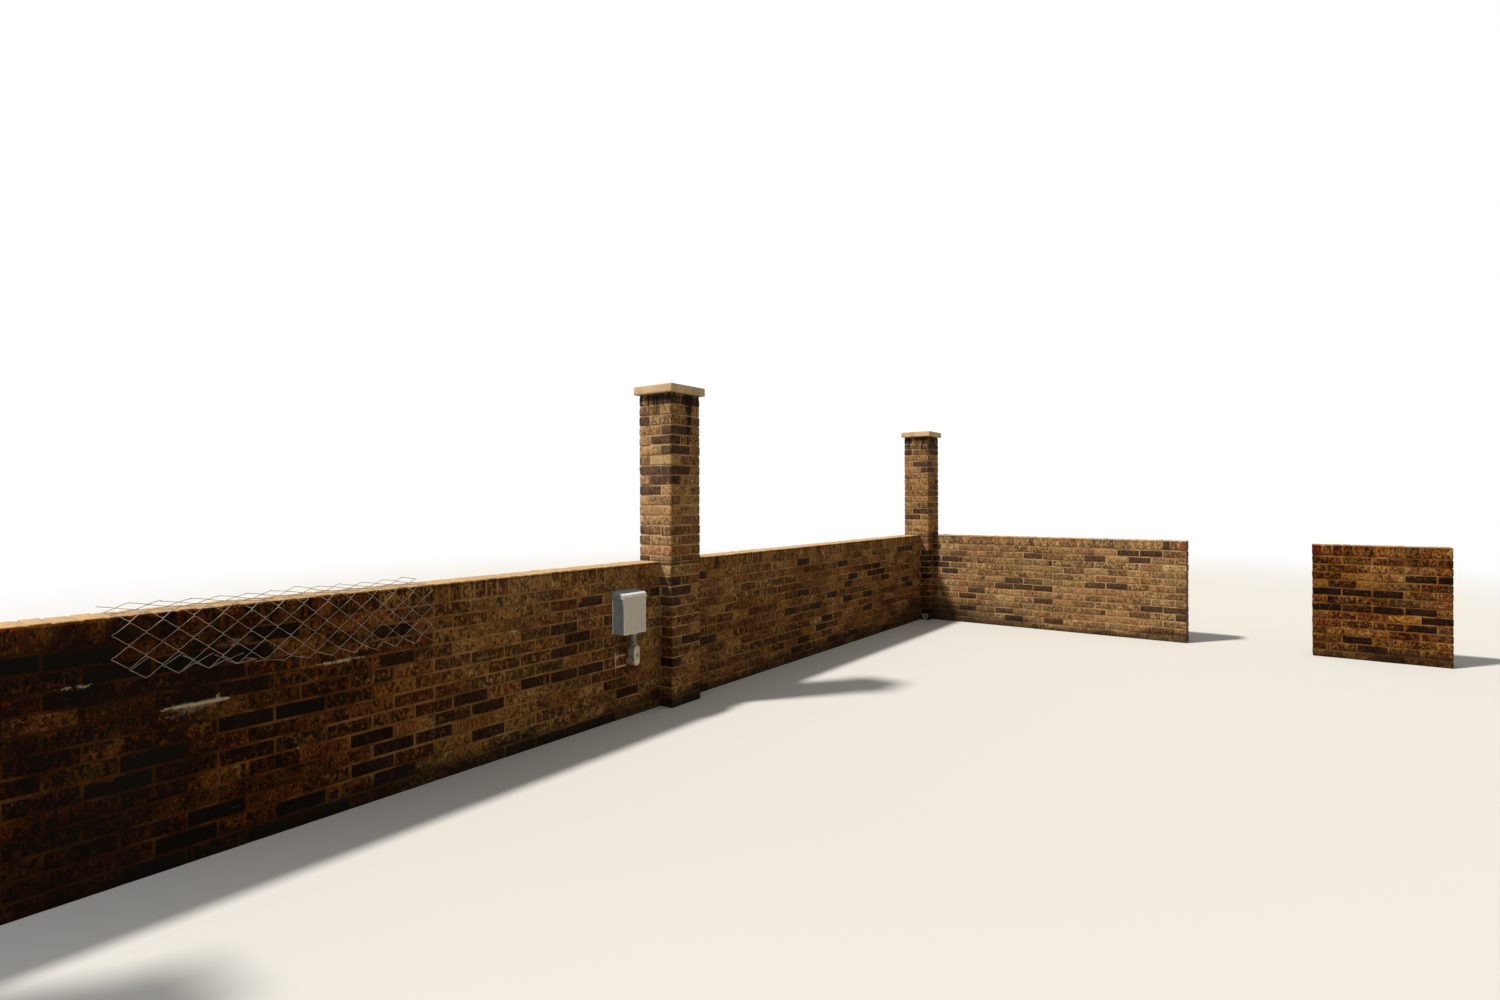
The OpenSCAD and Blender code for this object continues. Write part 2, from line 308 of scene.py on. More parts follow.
def joined(blocks):
    """One set of points and faces from several."""
    points, *faces = zip(*blocks)
    starts = np.cumsum([0, *map(len, points[:-1])])
    return np.concatenate(points), *(
        np.concatenate([part + start for part, start in zip(parts, starts)]) for parts in faces
    )


def add_object(name, data):
    """Object of this data, in the scene."""
    made = bpy.data.objects.new(name, data)
    bpy.context.scene.collection.objects.link(made)
    return made


def build_mesh(name, points, quads, tris, layers=None):
    """Object whose mesh has these faces and, for each layer, values at its points."""
    mesh = bpy.data.meshes.new(name)
    mesh.vertices.add(len(points))
    mesh.vertices.foreach_set("co", np.asarray(points, np.float32).ravel())
    corners = np.concatenate([quads.ravel(), tris.ravel()]).astype(np.int32)
    starts = np.concatenate([np.arange(len(quads)) * 4, len(quads) * 4 + np.arange(len(tris)) * 3])
    mesh.loops.add(len(corners))
    mesh.loops.foreach_set("vertex_index", corners)
    mesh.polygons.add(len(starts))
    mesh.polygons.foreach_set("loop_start", starts.astype(np.int32))
    mesh.polygons.foreach_set("use_smooth", np.ones(len(starts), bool))
    mesh.update(calc_edges=True)
    for layer, values in (layers or {}).items():
        kind, key = ("FLOAT_COLOR", "color") if values.shape[1] == 4 else ("FLOAT_VECTOR", "vector")
        held = mesh.attributes.new(layer, kind, "POINT")
        held.data.foreach_set(key, values.astype(np.float32).ravel())
    if mesh.validate():
        raise RuntimeError(f"{name} has broken faces")
    return add_object(name, mesh)


def mesh_object(name, shape):
    """Object made from a finished bmesh, which is freed."""
    mesh = bpy.data.meshes.new(name)
    shape.to_mesh(mesh)
    shape.free()
    return add_object(name, mesh)


def settle(piece, slot, finish, *nodes):
    """Finish a piece, let it ride on the wall and stand for these nodes."""
    piece.data.materials.clear()
    piece.data.materials.append(bpy.data.materials[finish])
    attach(piece, BODY)
    if nodes:
        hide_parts(*nodes)


# Weathering and painted shade by place


FOOT_BAND = (0.0, 0.16)
CORNER = (-0.148, -0.148)
# How far from the corner, and how high, the soil beside it fades out
CORNER_REACH = (0.2, 1.3)
CORNER_HEIGHTS = (0.10, 0.40)
# Painted shade: towards its far end along X the front of the near bay darkens, as in deep shadow
SHADY_END = (-5.8, -7.7)
SHADY_END_SHADE = 2.4
SHADY_END_DARKENING = 0.72
# How far drips run down from the caps of the end, middle and corner piers
DRIP_RUNS = (0.45, 0.34, 0.60)
# One long drip on the middle pier: place along X, half width and length, and its strength at both ends
LONG_DRIP = (-4.356, 0.035, 0.36)
LONG_DRIP_ENDS = (0.9, 1.2)
# Painted shade on the fronts, darker towards their foot: its strength, its share at their foot and how much
# less it is higher up, and where that starts and ends
FRONT_SHADE = 0.90
FRONT_FALL = (1.14, 0.26)
FRONT_HEIGHTS = (0.15, 0.90)
# Painted shade on the fronts of the piers, more towards their foot, and on the foot of their sides towards -X
PIER_FRONT_SHADE = 0.46
PIER_FOOT_SHADE = 0.35
PIER_HEIGHTS = (0.6, 1.3)
PIER_SIDE_SHADE = 1.6
PIER_SIDE_HEIGHTS = (0.58, 0.76)
# A point is on a pier within this reach of its middle, and on its face when further off than its front
PIER_REACH = 0.2
PIER_FRONT = 0.1435
RETURN_DAMP = 0.26
# Painted shade on the length beside the house, strongest on its side towards -X
FAR_END_SHADE = 1.65
# How far along X the painted shade of the far end falls off, and by how much
FAR_END_REACH = (-0.03, 0.10)
FAR_END_FALL = 0.7
# Strength and edge of the small spots of salts, and the edge of the large patches
SALT_SPOTS = 0.35
SPOT_EDGE = (0.78, 0.95)
PATCH_EDGE = (0.3, 1.6)
# The wear layer holds damp and painted shade as a share of this
MOST_DAMP_AND_SHADE = 3.0
MOST_SALTS = 1.6

# Patches of white salts on the front of the near bay: place along X, height, half length,
# half height and strength
SALT_PATCHES = (
    (-7.53, 0.742, 0.085, 0.014, 0.7),
    (-7.16, 0.607, 0.130, 0.016, 1.25),
    (-7.20, 0.585, 0.100, 0.028, 1.05),
    (-7.02, 0.828, 0.080, 0.020, 1.05),
    (-6.62, 0.676, 0.150, 0.010, 0.95),
    (-5.86, 0.566, 0.100, 0.012, 1.15),
    (-5.72, 0.672, 0.060, 0.026, 0.85),
    (-6.80, 0.330, 0.030, 0.055, 0.7),
    (-6.19, 0.250, 0.040, 0.075, 0.7),
    (-6.52, 0.345, 0.050, 0.030, 0.6),
    (-4.63, 0.712, 0.022, 0.050, 0.7),
    (-5.05, 0.560, 0.045, 0.060, 0.45),
)

# Fresh pale mortar round one brick end: place along X, height, half length and half height
FRESH_JOINTS = (-4.902, 0.374, 0.062, 0.048)


def wear_and_shade_of(points, in_joints=False):
    """Wear layer of points of the bricks, or of the mortar in the joints: damp and painted shade, salts,
    paler tops above a half or soil and painted shade below it, and drips from a cap."""
    x, y, z = points[:, 0], points[:, 1], points[:, 2]
    coping_low, coping_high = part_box("near_bay_coping")
    front_y, coping_top = coping_low.y, coping_high.z
    far_end_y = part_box("house_side_wall")[1].y + 0.01
    broad = soft_noise(points, 0.35, 3)
    fine = soft_noise(points, 0.07, 4)
    soil_and_shade = 1 - smooth_step(*FOOT_BAND, z + (broad - 0.5) * 0.12)
    near_corner = 1 - smooth_step(*CORNER_REACH, np.hypot(x - CORNER[0], y - CORNER[1]))
    soil_and_shade = np.maximum(soil_and_shade, near_corner * (1 - smooth_step(*CORNER_HEIGHTS, z)))
    on_front = abs(y - front_y) < 0.02
    near_pier, drip = np.zeros((2, len(points)))
    long_x, long_half, long_run = LONG_DRIP
    weak, strong = LONG_DRIP_ENDS
    for pier, drip_run in zip(PIERS, DRIP_RUNS):
        px, py, _ = middle_of(f"{pier}_cap")
        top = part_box(f"{pier}_cap")[0].z
        on_front = on_front & (abs(x - px) > PIER_FRONT + 0.004)
        beside = np.maximum(abs(x - px), abs(y - py)) < PIER_REACH
        in_front = beside & (y < py - PIER_FRONT)
        # Painted shade on the front of a pier
        near_pier = np.maximum(near_pier, in_front)
        drip = np.maximum(drip, beside * np.clip(1 - (top - z) / drip_run, 0, 1))
        in_drip = in_front & (abs(x - long_x) < long_half)
        fading = np.clip(strong - 0.3 * (top - z) / long_run, weak, strong) * (top - z < long_run)
        drip = np.maximum(drip, in_drip * fading)
        # Painted shade on the foot of a pier's side towards -X, in front of the wall
        at_foot = beside & (x < px - PIER_FRONT) & (y < front_y)
        at_foot = at_foot * (1 - smooth_step(*PIER_SIDE_HEIGHTS, z))
        near_pier = np.maximum(near_pier, PIER_SIDE_SHADE * at_foot)
    most, fall = FRONT_FALL
    # Painted shade on the fronts, darker towards their foot
    damp_and_shade = FRONT_SHADE * on_front * (x < front_y) * (most - fall * smooth_step(*FRONT_HEIGHTS, z))
    # Painted shade on the length beside the house
    far_end = (y < far_end_y) * (1 - FAR_END_FALL * smooth_step(*FAR_END_REACH, x))
    for patch in (
        near_pier * (PIER_FRONT_SHADE + PIER_FOOT_SHADE * (1 - smooth_step(*PIER_HEIGHTS, z))),
        RETURN_DAMP * (x > -PIER_REACH) * (y < PIER_REACH),
        FAR_END_SHADE * far_end,
    ):
        damp_and_shade = np.maximum(damp_and_shade, patch)
    # Painted shade at the far end of the near bay's front, laid in through both the soil and the damp
    shady = smooth_step(*SHADY_END, x) * on_front
    soil_and_shade = np.maximum(soil_and_shade, shady * SHADY_END_DARKENING * (0.6 + 0.8 * broad))
    damp_and_shade = damp_and_shade * (0.8 + 0.4 * broad) + shady * SHADY_END_SHADE
    salts = smooth_step(*SPOT_EDGE, soft_noise(points * [1, 1, 4], 0.16, 5)) * SALT_SPOTS
    for place, height, half_l, half_h, strength in SALT_PATCHES:
        reach = ((x - place) / half_l) ** 2 + ((z - height) / half_h) ** 2
        salts = np.maximum(salts, strength * (1 - smooth_step(*PATCH_EDGE, reach)) * on_front)
    if in_joints:
        place, height, half_l, half_h = FRESH_JOINTS
        fresh = (abs(x - place) < half_l) & (abs(z - height) < half_h) & on_front
        salts = np.maximum(salts, MOST_SALTS * fresh)
    salts = np.clip(salts * (0.7 + 0.6 * fine), 0, MOST_SALTS)
    # The tops of the copings turn paler
    pale_top = smooth_step(coping_top - 0.006, coping_top - 0.001, z) * (z < coping_top + 0.01)
    third = np.where(pale_top > 0, 0.5 + 0.5 * pale_top, 0.5 * soil_and_shade)
    return np.stack([np.clip(damp_and_shade / MOST_DAMP_AND_SHADE, 0, 1), salts, third, drip], -1)


# Bricks


QUARTERS = ((0, -1), (1, 0), (0, 1), (-1, 0))
FRONT = 0
WALL_SEED, COPING_SEED, PIER_SEED, FOOT_SEED, WEAVE_SEED = 11, 31, 51, 57, 71
# Bricks past this place of the palette are plain red
RED_PICK = 0.98
# How far along the palette the bricks of walls and of copings reach
WALL_SPAN = 0.96
COPING_SPAN = 0.62
# Cuts up and along the depth of a brick, by how many of its sides show
CUTS_UP = {"face": 3, "corner": 3, "all": 5}
CUTS_BACK = {"corner": 4, "all": 7}
# How a brick is worn: shares of its arris' radius, size, seed and share of its hollows, reach and
# share of the depth of a chip, and how far its size and its turns stray
ARRIS_WEAR = (0.7, 1.7)
HOLLOWS = ((0.040, 1, 0.65), (0.013, 2, 0.35))
CHIP_REACH = (0.008, 0.030)
CHIP_DEPTH = (0.25, 1.0)
SIZE_STRAY = 0.004
TURN_STRAY = 0.0035
MOST_TURN = 0.008
# How dark burnt bricks and the others are burnt
BURNT = (0.75, 1.0)
UNBURNT = (0, 0.45)


def face_axes(quarter):
    """Unit vectors along a face to the right, seen from outside, and out of it."""
    out = QUARTERS[quarter % 4]
    return np.array([-out[1], out[0], 0.0]), np.array([out[0], out[1], 0.0])


class Courses:
    """Bricks of one piece, gathered by size and by how many of their sides show."""

    def __init__(self, sizes, seed, flashed, span=WALL_SPAN):
        self.sizes = sizes
        self.draw = np.random.default_rng(seed)
        self.flashed = flashed
        self.span = span
        self.groups = {}

    def lay(self, corner, quarter, size, shown="face", red=False):
        """Place one brick by its lower left front corner, seen from outside its face."""
        key = (tuple(round(s, 5) for s in size), shown)
        self.groups.setdefault(key, []).append((tuple(corner), quarter, red))

    def shell(self, size, shown):
        """Shape of a true brick, cut finely where it shows."""
        rim = self.sizes.arris
        wide, deep, high = size
        across = rim_cuts(wide, rim, max(2, round(wide / 0.032)))
        back = rim_cuts(deep, rim, CUTS_BACK[shown]) if shown in CUTS_BACK else [0, rim, 0.03, deep]
        return box_shell((across, back, rim_cuts(high, rim, CUTS_UP[shown])), shown != "all")

    def weathered(self, shell, size, count):
        """Copies of a shell with worn arrises, hollows, chips and small errors."""
        sizes, draw = self.sizes, self.draw
        size = np.asarray(size)
        points = np.repeat(shell[None], count, 0)
        radius = sizes.arris * draw.uniform(*ARRIS_WEAR, (count, 1, 1))
        inner = np.clip(points, radius, size - radius)
        out = points - inner
        out /= np.linalg.norm(out, axis=2, keepdims=True)
        spot = points + draw.uniform(0, 60, (count, 1, 3))
        hollow = layered_noise(spot, HOLLOWS)
        points = inner + out * (radius - sizes.relief * hollow[..., None])
        struck = draw.random((count, 1)) < sizes.chipped
        target = np.stack([
            np.where(draw.random(count) < 0.7, draw.integers(0, 2, count), draw.random(count)) * size[0],
            np.zeros(count),
            draw.integers(0, 2, count) * size[2],
        ], -1)[:, None]
        reach = draw.uniform(*CHIP_REACH, (count, 1))
        away = np.linalg.norm(points - target, axis=2)
        depth = sizes.chip * draw.uniform(*CHIP_DEPTH, (count, 1)) * np.clip(1 - away / reach, 0, 1) ** 1.3
        inward = size / 2 - target
        inward /= np.linalg.norm(inward, axis=2, keepdims=True)
        points += inward * (depth * struck * (0.5 + hollow))[..., None]
        points -= size / 2
        points *= 1 + draw.normal(0, SIZE_STRAY, (count, 1, 3))
        turn = np.clip(draw.normal(0, TURN_STRAY, (count, 1, 3)), -MOST_TURN, MOST_TURN)
        points += np.cross(np.broadcast_to(turn, points.shape), points)
        most = 2 * sizes.stray
        shift = np.clip(draw.normal(0, sizes.stray, (count, 1, 3)), -most, most)
        shift[:, :, 1] = abs(shift[:, :, 1])
        return points + size / 2 + shift

    def tones(self, centres, reds):
        """Palette place, burn and two free draws for each brick, burnt ones in loose clusters."""
        count = len(centres)
        cluster = smooth_step(0.35, 0.75, soft_noise(centres * [1, 1, 1.6], 0.33, 7))
        burnt = self.draw.random(count) < self.flashed * (0.6 + 1.3 * cluster)
        burn = np.where(burnt, self.draw.uniform(*BURNT, count), self.draw.uniform(*UNBURNT, count))
        pick = np.where(reds, RED_PICK + 0.01, self.draw.random(count) * self.span)
        burn = np.where(reds, 0.0, burn)
        return np.stack([pick, burn, self.draw.random(count), self.draw.random(count)], -1)

    def build(self, name):
        """Join all the bricks in one mesh with the layers that their finish reads."""
        blocks, layers = [], {"place": [], "half_size": [], "tone": []}
        for (size, shown), laid in self.groups.items():
            shell, *faces = self.shell(size, shown)
            count, each = len(laid), len(shell)
            corners, quarters, reds = zip(*laid)
            along, out = (np.array(axes)[:, None] for axes in zip(*map(face_axes, quarters)))
            local = self.weathered(shell, size, count)
            world = np.array(corners, float)[:, None] + local[..., :1] * along - local[..., 1:2] * out
            world[..., 2] = np.maximum(world[..., 2] + local[..., 2], 0)
            half = np.array(size) / 2
            layers["place"].append(np.tile(shell - half, (count, 1)))
            layers["half_size"].append(np.tile(half, (count * each, 1)))
            layers["tone"].append(np.repeat(self.tones(world.mean(1), np.array(reds)), each, 0))
            starts = np.arange(count)[:, None, None] * each
            blocks.append((
                world.reshape(-1, 3), *((face[None] + starts).reshape(-1, face.shape[1]) for face in faces)
            ))
        points, quads, tris = joined(blocks)
        layers = {layer: np.concatenate(values) for layer, values in layers.items()}
        return build_mesh(name, points, quads, tris, {**layers, "wear_and_shade": wear_and_shade_of(points)})


def course_bricks(run, sizes, first_joint, last_joint, half_first):
    """Places and lengths of the bricks of one course of running bond."""
    bricks = []
    place = first_joint
    if half_first:
        bricks.append((place, sizes.wide))
        place += sizes.wide + sizes.joint
    while place + sizes.long <= run - last_joint + 1e-6:
        bricks.append((place, sizes.long))
        place += sizes.long + sizes.joint
    rest = run - last_joint - place
    if rest > sizes.joint:
        bricks.append((place, rest))
    return bricks


class Run:
    """A straight length of wall: which way its front face looks and the joints at its ends."""

    def __init__(self, name, quarter, joints):
        self.name = name
        self.wall = f"{name}_wall"
        self.coping = f"{name}_coping"
        self.quarter = quarter
        self.joints = joints
        low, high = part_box(self.wall)
        self.coping_low, self.coping_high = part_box(self.coping)
        self.along, self.out = face_axes(quarter)
        self.start = np.array([low.x, low.y if quarter == FRONT else high.y, 0.0])
        self.length = abs(np.dot(self.along, np.array(high - low)))

    def spot(self, along, back, up):
        """Place at a length along the front face, a depth behind it and a height."""
        return self.start + self.along * along - self.out * back + np.array([0, 0, up])


def wall_runs():
    """The four lengths of wall, each with the share of a joint that its ends have."""
    rows = (
        ("near_bay", FRONT, (1, 1)), ("far_bay", FRONT, (1, 1)), ("return", 3, (1, 0)),
        ("house_side", 3, (0, 0)),
    )
    return [Run(*row) for row in rows]


# Stretchers of the near bay that were patched with a pair of brick ends: place along X and course
PATCHED = ((-4.90, 5), (-4.90, 6), (-5.62, 3))


def is_patched(run, place, long, course):
    """Whether the stretcher at this place is one of the patched ones."""
    first = run.spot(place, 0, 0)[0]
    at = [x for x, patched_course in PATCHED if patched_course == course and first < x < first + long]
    return run.name == "near_bay" and bool(at)


def lay_run(run, courses, sizes):
    """Running bond in two leaves, with through bricks at free ends."""
    first, last = [j * sizes.joint for j in run.joints]
    thick, wide, high = sizes.long, sizes.wide, sizes.high
    half_first_on = 0 if run.joints == (1, 0) else 1
    for course in range(round(run.coping_low.z / sizes.rise)):
        up = course * sizes.rise
        bricks = course_bricks(run.length, sizes, first, last, course % 2 == half_first_on)
        for index, (place, long) in enumerate(bricks):
            at_start = index == 0 and not run.joints[0]
            at_end = index == len(bricks) - 1 and not run.joints[1]
            if (at_start or at_end) and long < sizes.long / 1.5:
                spot, turn = ((place, thick, up), 3) if at_start else ((place + wide, 0, up), 1)
                courses.lay(run.spot(*spot), run.quarter + turn, (sizes.long, wide, high), "corner")
                continue
            shown = "corner" if at_start or at_end else "face"
            size = (long, wide, high)
            if is_patched(run, place, long, course):
                for shift in (0, wide + sizes.joint):
                    courses.lay(run.spot(place + shift, 0, up), run.quarter, (wide, wide, high))
            else:
                courses.lay(run.spot(place, 0, up), run.quarter, size, shown)
            courses.lay(run.spot(place + long, thick, up), run.quarter + 2, size, shown)


def lay_coping(run, courses, sizes):
    """Bricks on edge across the wall, with a plain red one at each free end by the opening."""
    before, after = [j * sizes.joint for j in run.joints]
    laid = run.length - (before + after)
    count = round((laid + sizes.coping_joint) / (sizes.high + sizes.coping_joint))
    pitch = (laid + sizes.coping_joint) / count
    size = (pitch - sizes.coping_joint, sizes.long, sizes.wide)
    red_one = {"return": count - 1, "house_side": 0}.get(run.name)
    for index in range(count):
        corner = run.spot(before + index * pitch, 0, run.coping_low.z)
        courses.lay(corner, run.quarter, size, "all", index == red_one)


def lay_pier(centre, courses, sizes, first, last):
    """Four stretchers to a course, turned the other way in every second course."""
    wide = 2 * sizes.wide + sizes.joint + (sizes.long - sizes.wide)
    half = wide / 2
    for course in range(first, last):
        start = 0 if course % 2 else wide - sizes.long
        for quarter in range(4):
            along, out = face_axes(quarter)
            corner = np.array([*centre, course * sizes.rise]) + out * half - along * (half - start)
            courses.lay(corner, quarter, (sizes.long, sizes.wide, sizes.high), "corner")


# Mortar


# How deep a bed joint is hollowed, size, seed and depth of the grain and its mean, how far the
# mortar runs into a pier, and the least gap of two rows
BED_HOLLOW = 0.0012
MORTAR_GRAIN = ((0.030, 8, 0.0022), (0.009, 9, 0.0010))
GRAIN_MEAN = 0.0012
MORTAR_GRIP = 0.006
LEAST_ROW = 0.002
# Size of the faces of the mortar of walls and of piers
WALL_STEP = 0.026
PIER_STEP = 0.02


def joint_cuts(low, high, sizes):
    """Heights of the rows of a mortar face: both edges and the middle of every bed joint."""
    rise = sizes.rise
    heights = [low]
    for course in range(1, round(high / rise) + 1):
        heights += [course * rise - sizes.joint, course * rise - sizes.joint / 2, course * rise]
    return [*(h for h in heights if low <= h < high - LEAST_ROW), high]


def mortar_block(low, high, sizes, step=WALL_STEP):
    """Points and faces of the mortar behind the bricks, hollowed along every bed joint."""
    cuts = [np.linspace(low[a], high[a], max(2, round((high[a] - low[a]) / step)) + 1) for a in (0, 1)]
    points, quads, tris = box_shell((*cuts, joint_cuts(low[2], high[2], sizes)))
    low, high = np.array(low), np.array(high)
    middle, half = (low + high) / 2, (high - low) / 2
    side = np.where(abs(abs(points - middle) - half) < 1e-6, np.sign(points - middle), 0)
    off_joint = (points[:, 2] % sizes.rise) - (sizes.high + sizes.joint / 2)
    hollow = np.where(abs(off_joint) < sizes.joint / 4, BED_HOLLOW, 0.0)
    rough = layered_noise(points, MORTAR_GRAIN) - GRAIN_MEAN
    side[:, 2] *= 0.3
    return points - side * (hollow + rough)[:, None], quads, tris


def run_mortar(run, sizes, low_z, high_z, end_inset):
    """Mortar of a straight length between two heights, run into the piers it meets."""
    start = -MORTAR_GRIP if run.joints[0] else end_inset
    end = run.length + (MORTAR_GRIP if run.joints[1] else -end_inset)
    corners = [run.spot(start, sizes.rake, low_z), run.spot(end, sizes.long - sizes.rake, high_z)]
    return mortar_block(np.minimum(*corners), np.maximum(*corners), sizes)


def mortar_piece(name, block, in_joints=False):
    """Piece made of a block of mortar, with its wear and painted shade."""
    return build_mesh(f"{name}_mortar", *block, {"wear_and_shade": wear_and_shade_of(block[0], in_joints)})


# Shader nodes


COLOUR, VALUE, VECTOR = "NodeSocketColor", "NodeSocketFloat", "NodeSocketVector"


class Web:
    """Nodes of one shader tree, made by short calls that give back what each node puts out."""

    def __init__(self, tree, last):
        self.tree = tree
        self.last = last

    def node(self, kind, inputs=(), **settings):
        """Add a node, set its properties, and link or fill its inputs."""
        made = self.tree.nodes.new(kind)
        for key, value in settings.items():
            setattr(made, key, value)
        return self.feed(made, inputs)

    def feed(self, made, inputs):
        """Link or fill inputs of a node by name or number; a colour may be three numbers."""
        for key, value in dict(inputs).items():
            socket = made.inputs[key]
            if isinstance(value, bpy.types.NodeSocket):
                self.tree.links.new(value, socket)
            elif socket.type == "RGBA":
                socket.default_value = (*value[:3], 1)
            else:
                socket.default_value = value
        return made

    def end(self, inputs):
        """Feed the node that the tree ends in."""
        self.feed(self.last, inputs)

    def calc(self, operation, *inputs, **settings):
        return self.node("ShaderNodeMath", enumerate(inputs), operation=operation, **settings).outputs[0]

    def times(self, first, second):
        return self.calc("MULTIPLY", first, second)

    def line(self, value, factor, offset):
        """Value times a factor, plus an offset."""
        return self.calc("MULTIPLY_ADD", value, factor, offset)

    def vector(self, operation, *inputs):
        return self.node("ShaderNodeVectorMath", enumerate(inputs), operation=operation).outputs[0]

    def stretch(self, vector, factors):
        return self.vector("MULTIPLY", vector, factors)

    def parts(self, vector):
        return self.node("ShaderNodeSeparateXYZ", {0: vector}).outputs

    def channels(self, colour):
        return self.node("ShaderNodeSeparateColor", {0: colour}).outputs[:3]

    def layer(self, name):
        return self.node("ShaderNodeAttribute", attribute_name=name, attribute_type="GEOMETRY").outputs

    def place(self):
        return self.node("ShaderNodeTexCoord").outputs["Object"]

    def seen(self):
        """Whether a ray shows a thing rather than lights the wall by it."""
        rays = self.node("ShaderNodeLightPath").outputs
        first = self.calc("MAXIMUM", rays["Is Camera Ray"], rays["Is Glossy Ray"])
        return self.calc("MAXIMUM", first, rays["Is Transmission Ray"])

    def noise(self, vector, scale, detail=2.0, rough=0.5, warp=0.0):
        inputs = {"Vector": vector, "Scale": scale, "Detail": detail, "Roughness": rough, "Distortion": warp}
        return self.node("ShaderNodeTexNoise", inputs).outputs[0]

    def fade(self, value, low, high, low_out=0.0, high_out=1.0):
        """Smooth step of a value between two marks."""
        inputs = enumerate((value, low, high, low_out, high_out))
        return self.node("ShaderNodeMapRange", inputs, interpolation_type="SMOOTHSTEP").outputs[0]

    def mix(self, factor, first, second, mode="MIX"):
        """Mix of two colours, each a socket or three numbers."""
        inputs = {0: factor, 6: first, 7: second}
        return self.node("ShaderNodeMix", inputs, data_type="RGBA", blend_type=mode).outputs[2]

    def coat(self, face, colour, mask, low, high, most=1.0, share=None):
        """Lay a colour over a face where a mask fades in between two marks, up to a most."""
        cover = self.fade(mask, low, high, 0, most)
        return self.mix(cover if share is None else self.times(cover, share), face, colour)

    def palette(self, position, *tones):
        """Colour at a position of a ramp, of tones that each have their own position."""
        ramp = self.node("ShaderNodeValToRGB", {0: position})
        stops = ramp.color_ramp.elements
        while len(stops) < len(tones):
            stops.new(0.5)
        for stop, (spot, tone) in zip(stops, tones):
            stop.position = spot
            stop.color = (*tone[:3], 1)
        return ramp.outputs[0]

    def bump(self, height, distance, strength=1.0):
        inputs = {"Height": height, "Distance": distance, "Strength": strength}
        return self.node("ShaderNodeBump", inputs).outputs[0]

    def use(self, name, **inputs):
        """Place a node group with its own values."""
        return self.node("ShaderNodeGroup", inputs, node_tree=bpy.data.node_groups[name]).outputs


def new_group(name, inputs, outputs):
    """Web of a new node group with its named sockets, and what it is given."""
    tree = bpy.data.node_groups.new(name, "ShaderNodeTree")
    for direction, sockets in (("INPUT", inputs), ("OUTPUT", outputs)):
        for label, kind in sockets.items():
            tree.interface.new_socket(label, in_out=direction, socket_type=kind)
    return Web(tree, tree.nodes.new("NodeGroupOutput")), tree.nodes.new("NodeGroupInput").outputs


def arris_distance_group():
    """Distance from a point on a brick's face to the nearest arris, in metres."""
    web, _ = new_group("Arris Distance", {}, {"Distance": VALUE})
    place = web.vector("ABSOLUTE", web.layer("place")["Vector"])
    across, back, up = web.parts(web.vector("SUBTRACT", web.layer("half_size")["Vector"], place))
    lesser = web.calc("MINIMUM", across, back)
    greater = web.calc("MAXIMUM", across, back)
    web.end({"Distance": web.calc("MAXIMUM", lesser, web.calc("MINIMUM", greater, up))})


# Sand, lumps and pits of mortar and stone: scale, detail and roughness
SAND = (520, 3, 0.7)
LUMPS = (95, 3, 0.6)
PITS = (210, 2, 0.5)


def grit_group():
    """Sand grain and pits of mortar and stone, as a height and a tint."""
    web, given = new_group("Grit", {"Place": VECTOR}, {"Height": VALUE, "Pits": VALUE})
    sand, lumps, pits = (web.noise(given["Place"], *look) for look in (SAND, LUMPS, PITS))
    pits = web.fade(pits, 0.66, 0.76)
    web.end({"Height": web.line(pits, -0.8, web.line(sand, 0.45, lumps)), "Pits": pits})


# Marks on a brick's face: how far they are drawn out upright, their scale, detail, roughness and warp
CLOUD = (0.8, 24, 2, 0.5, 0.4)
HUE = (0.7, 38, 3, 0.6, 0.3)
BLOTCH = (0.55, 66, 3, 0.62, 0.5)
DRAG = (0.42, 150, 3, 0.66, 0.8)
PALE_SPOT = (1.3, 40, 2, 0.5, 1.5)
SPECK = (430, 2, 0.6)


